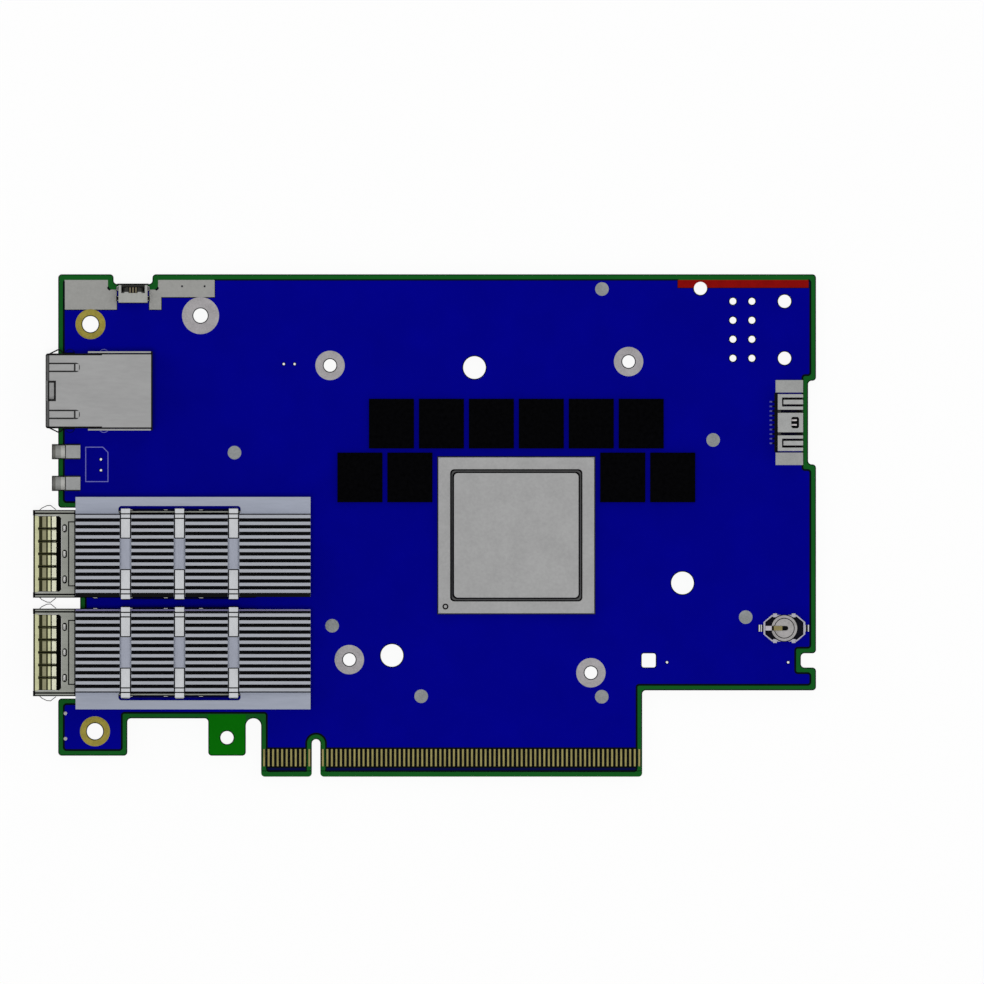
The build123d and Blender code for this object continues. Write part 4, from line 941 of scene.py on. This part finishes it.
# Cable socket on the right edge: a pale moulded housing between two soldered metal end blocks, with
# sprung frames in its latch bays and a row of bent pins behind.
socket_middle = 78.35
socket_shade = (8, 8, 9)
socket_groove_x = (159.1, 159.95)
socket_groove_reach = (2.15, 2.85)
socket_bay_x = (159.95, 167.65)
socket_floor_z = (0.5, 0.8)
latch_slot_x = (160.13, 160.47)
latch_slot_reach = (4.0, 5.12)
pin_shade = (10, 10, 30)
pin_dark_x = (157.95, 164)
pin_light = (206, 200, 200)
pin_light_x = (162.2, 164)
pin_light_reach = (-1, 1.3)


def from_socket(tree, low, high):
    """1 between two distances in millimetres to either side of the cable socket's middle line."""
    return from_line(tree, 1, socket_middle, low, high)


socket_finish = finish("socket_moulding", (155, 156, 155), roughness=0.55, depth=0.08, scale=800.0)
# Painted shade in the groove and on the floor of the latch bays.
patch(socket_finish, socket_shade, x=socket_groove_x,
      also=[from_socket(socket_finish.node_tree, *socket_groove_reach)])
patch(socket_finish, socket_shade, x=socket_bay_x, z=socket_floor_z)
dress("side_socket_housing", socket_finish, edge=0.04)
latch_finish = finish("latch_moulding", (158, 159, 158), roughness=0.55, depth=0.08, scale=800.0)
# Painted shade in the latches' slots.
patch(latch_finish, socket_shade, x=latch_slot_x,
      also=[from_socket(latch_finish.node_tree, *latch_slot_reach)])
dress("side_socket_latches", latch_finish, edge=0.04)
end_finish = metal("bracket_tin", (152, 153, 152), roughness=0.42, depth=0.08, scale=500.0)
dress("side_socket_brackets", end_finish, edge=0.05)
dress("side_socket_insert", black_finish, edge=0.03)
pin_finish = metal("socket_pin", (84, 84, 150), roughness=0.35, depth=0.1, scale=900.0)
# Painted shade along the pins, all but their tips.
patch(pin_finish, pin_shade, x=pin_dark_x)
patch(pin_finish, pin_light, x=pin_light_x, also=[from_socket(pin_finish.node_tree, *pin_light_reach)])
dress("side_socket_pins", pin_finish)


# Coin cell: a plated steel cell pressed into a grey moulded holder, under a sprung arm that joins it to
# two soldered terminals of tinned strip.
cell_centre = (160.65, 32.85)
cell_rings = ((2.1, 2.28), (2.84, 3.02))
cell_ring_shade = (30, 30, 30)
holder_floor_z = (0.4, 0.7)
holder_floor_shade = (10, 9, 22)
terminal_shade = (14, 14, 26)
terminal_highlight = (200, 200, 204)
terminal_bends = ((155.0, 155.28), (155.45, 155.7), (165.15, 165.4), (165.85, 166.1))
arm_colour_and_shade = (((158.35, 160.2), (134, 124, 84)),
             ((157.85, 158.35), (30, 26, 14)),
             ((160.2, 162.0), (14, 14, 16)))
holder_finish = finish("holder_moulding", (168, 166, 178), roughness=0.5, depth=0.08, scale=800.0,
                       shine=0.1)
# Painted shade on the holder's floor round the cell.
patch(holder_finish, holder_floor_shade, z=holder_floor_z)
dress("battery_holder", holder_finish, edge=0.04)
cell_finish = metal("cell_plating", (160, 157, 157), roughness=0.35, depth=0.12, scale=400.0)
# Painted shade in two rings on the cell's face.
for ring in cell_rings:
    repaint(cell_finish, around(cell_finish.node_tree, *cell_centre, *ring), cell_ring_shade)
dress("coin_cell", cell_finish, edge=0.06)
arm_finish = metal("arm_plating", (186, 182, 190), roughness=0.3, depth=0.08, scale=900.0)
# The arm's gold-coloured middle, with painted shade on its end and its tip.
for stretch, tone in arm_colour_and_shade:
    patch(arm_finish, tone, x=stretch)
dress("battery_spring_arm", arm_finish)
# The terminals carry painted shade all over, with a painted highlight on each bend.
terminal_finish = metal("terminal_tin", terminal_shade, roughness=0.35, depth=0.08, scale=700.0)
for stretch in terminal_bends:
    patch(terminal_finish, terminal_highlight, x=stretch)
dress("battery_terminals", terminal_finish)


# Solder joints: small cones of solder round each lead, wire and tab where it leaves the underside, with
# plated rings round the press-in tails of the cages and round the jack's tabs.
wire_rows = (12.0, 14.5)
wire_pitch = 1.02
wire_count = 8
tab_rows = (2.6, 10.1)
tab_reach = 8.15
tab_joint_size = 1.7
tab_ring = (0.98, 1.12)
light_lead_x = 3.2
lead_reach = 1.0
tail_front = 8.2
tail_pitch = 7.8
tail_count = 5
tail_reach = 9.55
tail_ring = (0.46, 0.78)
joint_flank = ((0.62, 0.0), (0.6, -0.05), (0.42, -0.18), (0.32, -0.42), (0.27, -0.62))
joint_tip = 0.66
joint_steps = 16


def joint_mesh(name):
    """A cone of solder with a hollow flank, hanging below the board."""
    form = bmesh.new()
    tip = form.verts.new((0, 0, -joint_tip * mm))
    top = form.verts.new((0, 0, 0))
    loops = spun_points(form, joint_flank, joint_steps)
    for step in range(joint_steps):
        here, there = loops[step], loops[(step + 1) % joint_steps]
        form.faces.new((top, there[0], here[0]))
        form.faces.new((tip, here[-1], there[-1]))
        for level in range(len(here) - 1):
            form.faces.new((here[level], there[level], there[level + 1], here[level + 1]))
    return mesh_from(name, form)


wire_middle = (wire_count - 1) / 2
wire_spots = [(wire_rows[i % 2], jack_middle + (i - wire_middle) * wire_pitch) for i in range(wire_count)]
light_spots = [(light_lead_x, y + side * lead_reach) for y in light_lines for side in (-1, 1)]
shield_spots = [(x, jack_middle + side * tab_reach) for x in tab_rows for side in (-1, 1)]
tail_rows = [tail_front + i * tail_pitch for i in range(tail_count)]
tail_spots = [(x, y + side * tail_reach) for y in port_lines for side in (-1, 1) for x in tail_rows]
solder_finish = metal("solder", (172, 173, 176), roughness=0.25, depth=0.08, scale=900.0)
repeat("wire_solder_joints", joint_mesh("wire_joint"),
       [place(x, y, back_z) for x, y in wire_spots + light_spots], solder_finish)
repeat("tab_solder_joints", joint_mesh("tab_joint"), [place(x, y, back_z) for x, y in shield_spots],
       solder_finish, size=tab_joint_size)
repeat("tail_lands", ring_mesh("tail_land", *tail_ring, -ring_thickness, 0, via_steps),
       [place(x, y, back_z) for x, y in tail_spots], tin_finish, smooth=False)
for name, row, material, slot in (("front_tab_rings", tab_rows[0], dark_finish, "tinned_copper"),
                                  ("rear_tab_rings", tab_rows[1], print_finish, "white_ink")):
    repeat(name, ring_mesh(name, *tab_ring, 0, ring_thickness, via_steps),
           [place(x, y) for x, y in shield_spots if x == row], material, smooth=False)


# Setting: a plain pale floor under the card, a white world and two soft lamps, the stronger one from
# almost straight above.
floor_size = 4.0
floor_white = (0.93, 0.93, 0.93, 1)
floor_roughness = 0.9
world_level = 0.4
floor_seen = 0.88
sky_level = 1.0
key_power = 1.75
key_lean = (math.radians(2), math.radians(-1), 0.0)
key_spread = 8
fill_power = 0.15
fill_lean = (math.radians(-40), math.radians(35), 0.0)
fill_spread = 60


def pale_floor():
    """A large flat square at the lowest point of the card."""
    form = bmesh.new()
    bmesh.ops.create_grid(form, x_segments=1, y_segments=1, size=floor_size / 2)
    mesh = bpy.data.meshes.new("pale_floor")
    form.to_mesh(mesh)
    form.free()
    piece = bpy.data.objects.new("pale_floor", mesh)
    piece.location.z = cad_box[0][2]
    bpy.context.scene.collection.objects.link(piece)
    material = bpy.data.materials.new("floor_white")
    material.use_nodes = True
    tree = material.node_tree
    shader = tree.nodes["Principled BSDF"]
    shader.inputs["Base Color"].default_value = floor_white
    shader.inputs["Roughness"].default_value = floor_roughness
    path = add(tree, "ShaderNodeLightPath")
    glow = add(tree, "ShaderNodeEmission", [("Color", (1, 1, 1, 1)), ("Strength", 1.0)])
    seen = math_node(tree, "MULTIPLY", path.outputs["Is Camera Ray"], floor_seen)
    blend = add(tree, "ShaderNodeMixShader", [(0, seen), (1, shader.outputs[0]), (2, glow.outputs[0])])
    tree.links.new(blend.outputs[0], tree.nodes["Material Output"].inputs["Surface"])
    mesh.materials.append(material)


def soft_lamp(name, power, lean, spread):
    """A distant lamp that leans from straight above and isn't mirrored in the metal."""
    lamp = bpy.data.lights.new(name, "SUN")
    lamp.energy = power
    lamp.angle = math.radians(spread)
    carrier = bpy.data.objects.new(name, lamp)
    carrier.rotation_euler = lean
    carrier.visible_glossy = False
    bpy.context.scene.collection.objects.link(carrier)


def studio_world():
    """White where it is seen directly or in metal, dimmer where it lights."""
    world = bpy.data.worlds.new("studio")
    world.use_nodes = True
    tree = world.node_tree
    background = tree.nodes["Background"]
    path = add(tree, "ShaderNodeLightPath")
    seen = math_node(tree, "MAXIMUM", path.outputs["Is Camera Ray"], path.outputs["Is Glossy Ray"])
    seen = math_node(tree, "MAXIMUM", seen, path.outputs["Is Transmission Ray"])
    level = add(tree, "ShaderNodeMapRange", [(0, seen), (3, world_level), (4, sky_level)])
    background.inputs["Color"].default_value = (1, 1, 1, 1)
    tree.links.new(level.outputs[0], background.inputs["Strength"])
    bpy.context.scene.world = world


pale_floor()
soft_lamp("key_lamp", key_power, key_lean, key_spread)
soft_lamp("fill_lamp", fill_power, fill_lean, fill_spread)
studio_world()


# Camera: straight above, without perspective, at the picture's scale and with the card where the picture
# has it.
picture_pixels = 984
pixels_per_mm = 4.52
board_left_pixel = 58.2
tongue_low_pixel = 776.7
view_width = picture_pixels / pixels_per_mm
middle_x = (picture_pixels / 2 - board_left_pixel) / pixels_per_mm
middle_y = (tongue_low_pixel - picture_pixels / 2) / pixels_per_mm
camera_height = 600
camera_reach = 10.0
camera = bpy.data.cameras.new("camera")
camera.type = "ORTHO"
camera.ortho_scale = view_width * mm
camera.clip_end = camera_reach
camera_carrier = bpy.data.objects.new("camera", camera)
camera_carrier.location = place(middle_x, middle_y, camera_height)
bpy.context.scene.collection.objects.link(camera_carrier)
bpy.context.scene.camera = camera_carrier
bpy.context.scene.view_settings.view_transform = "Standard"
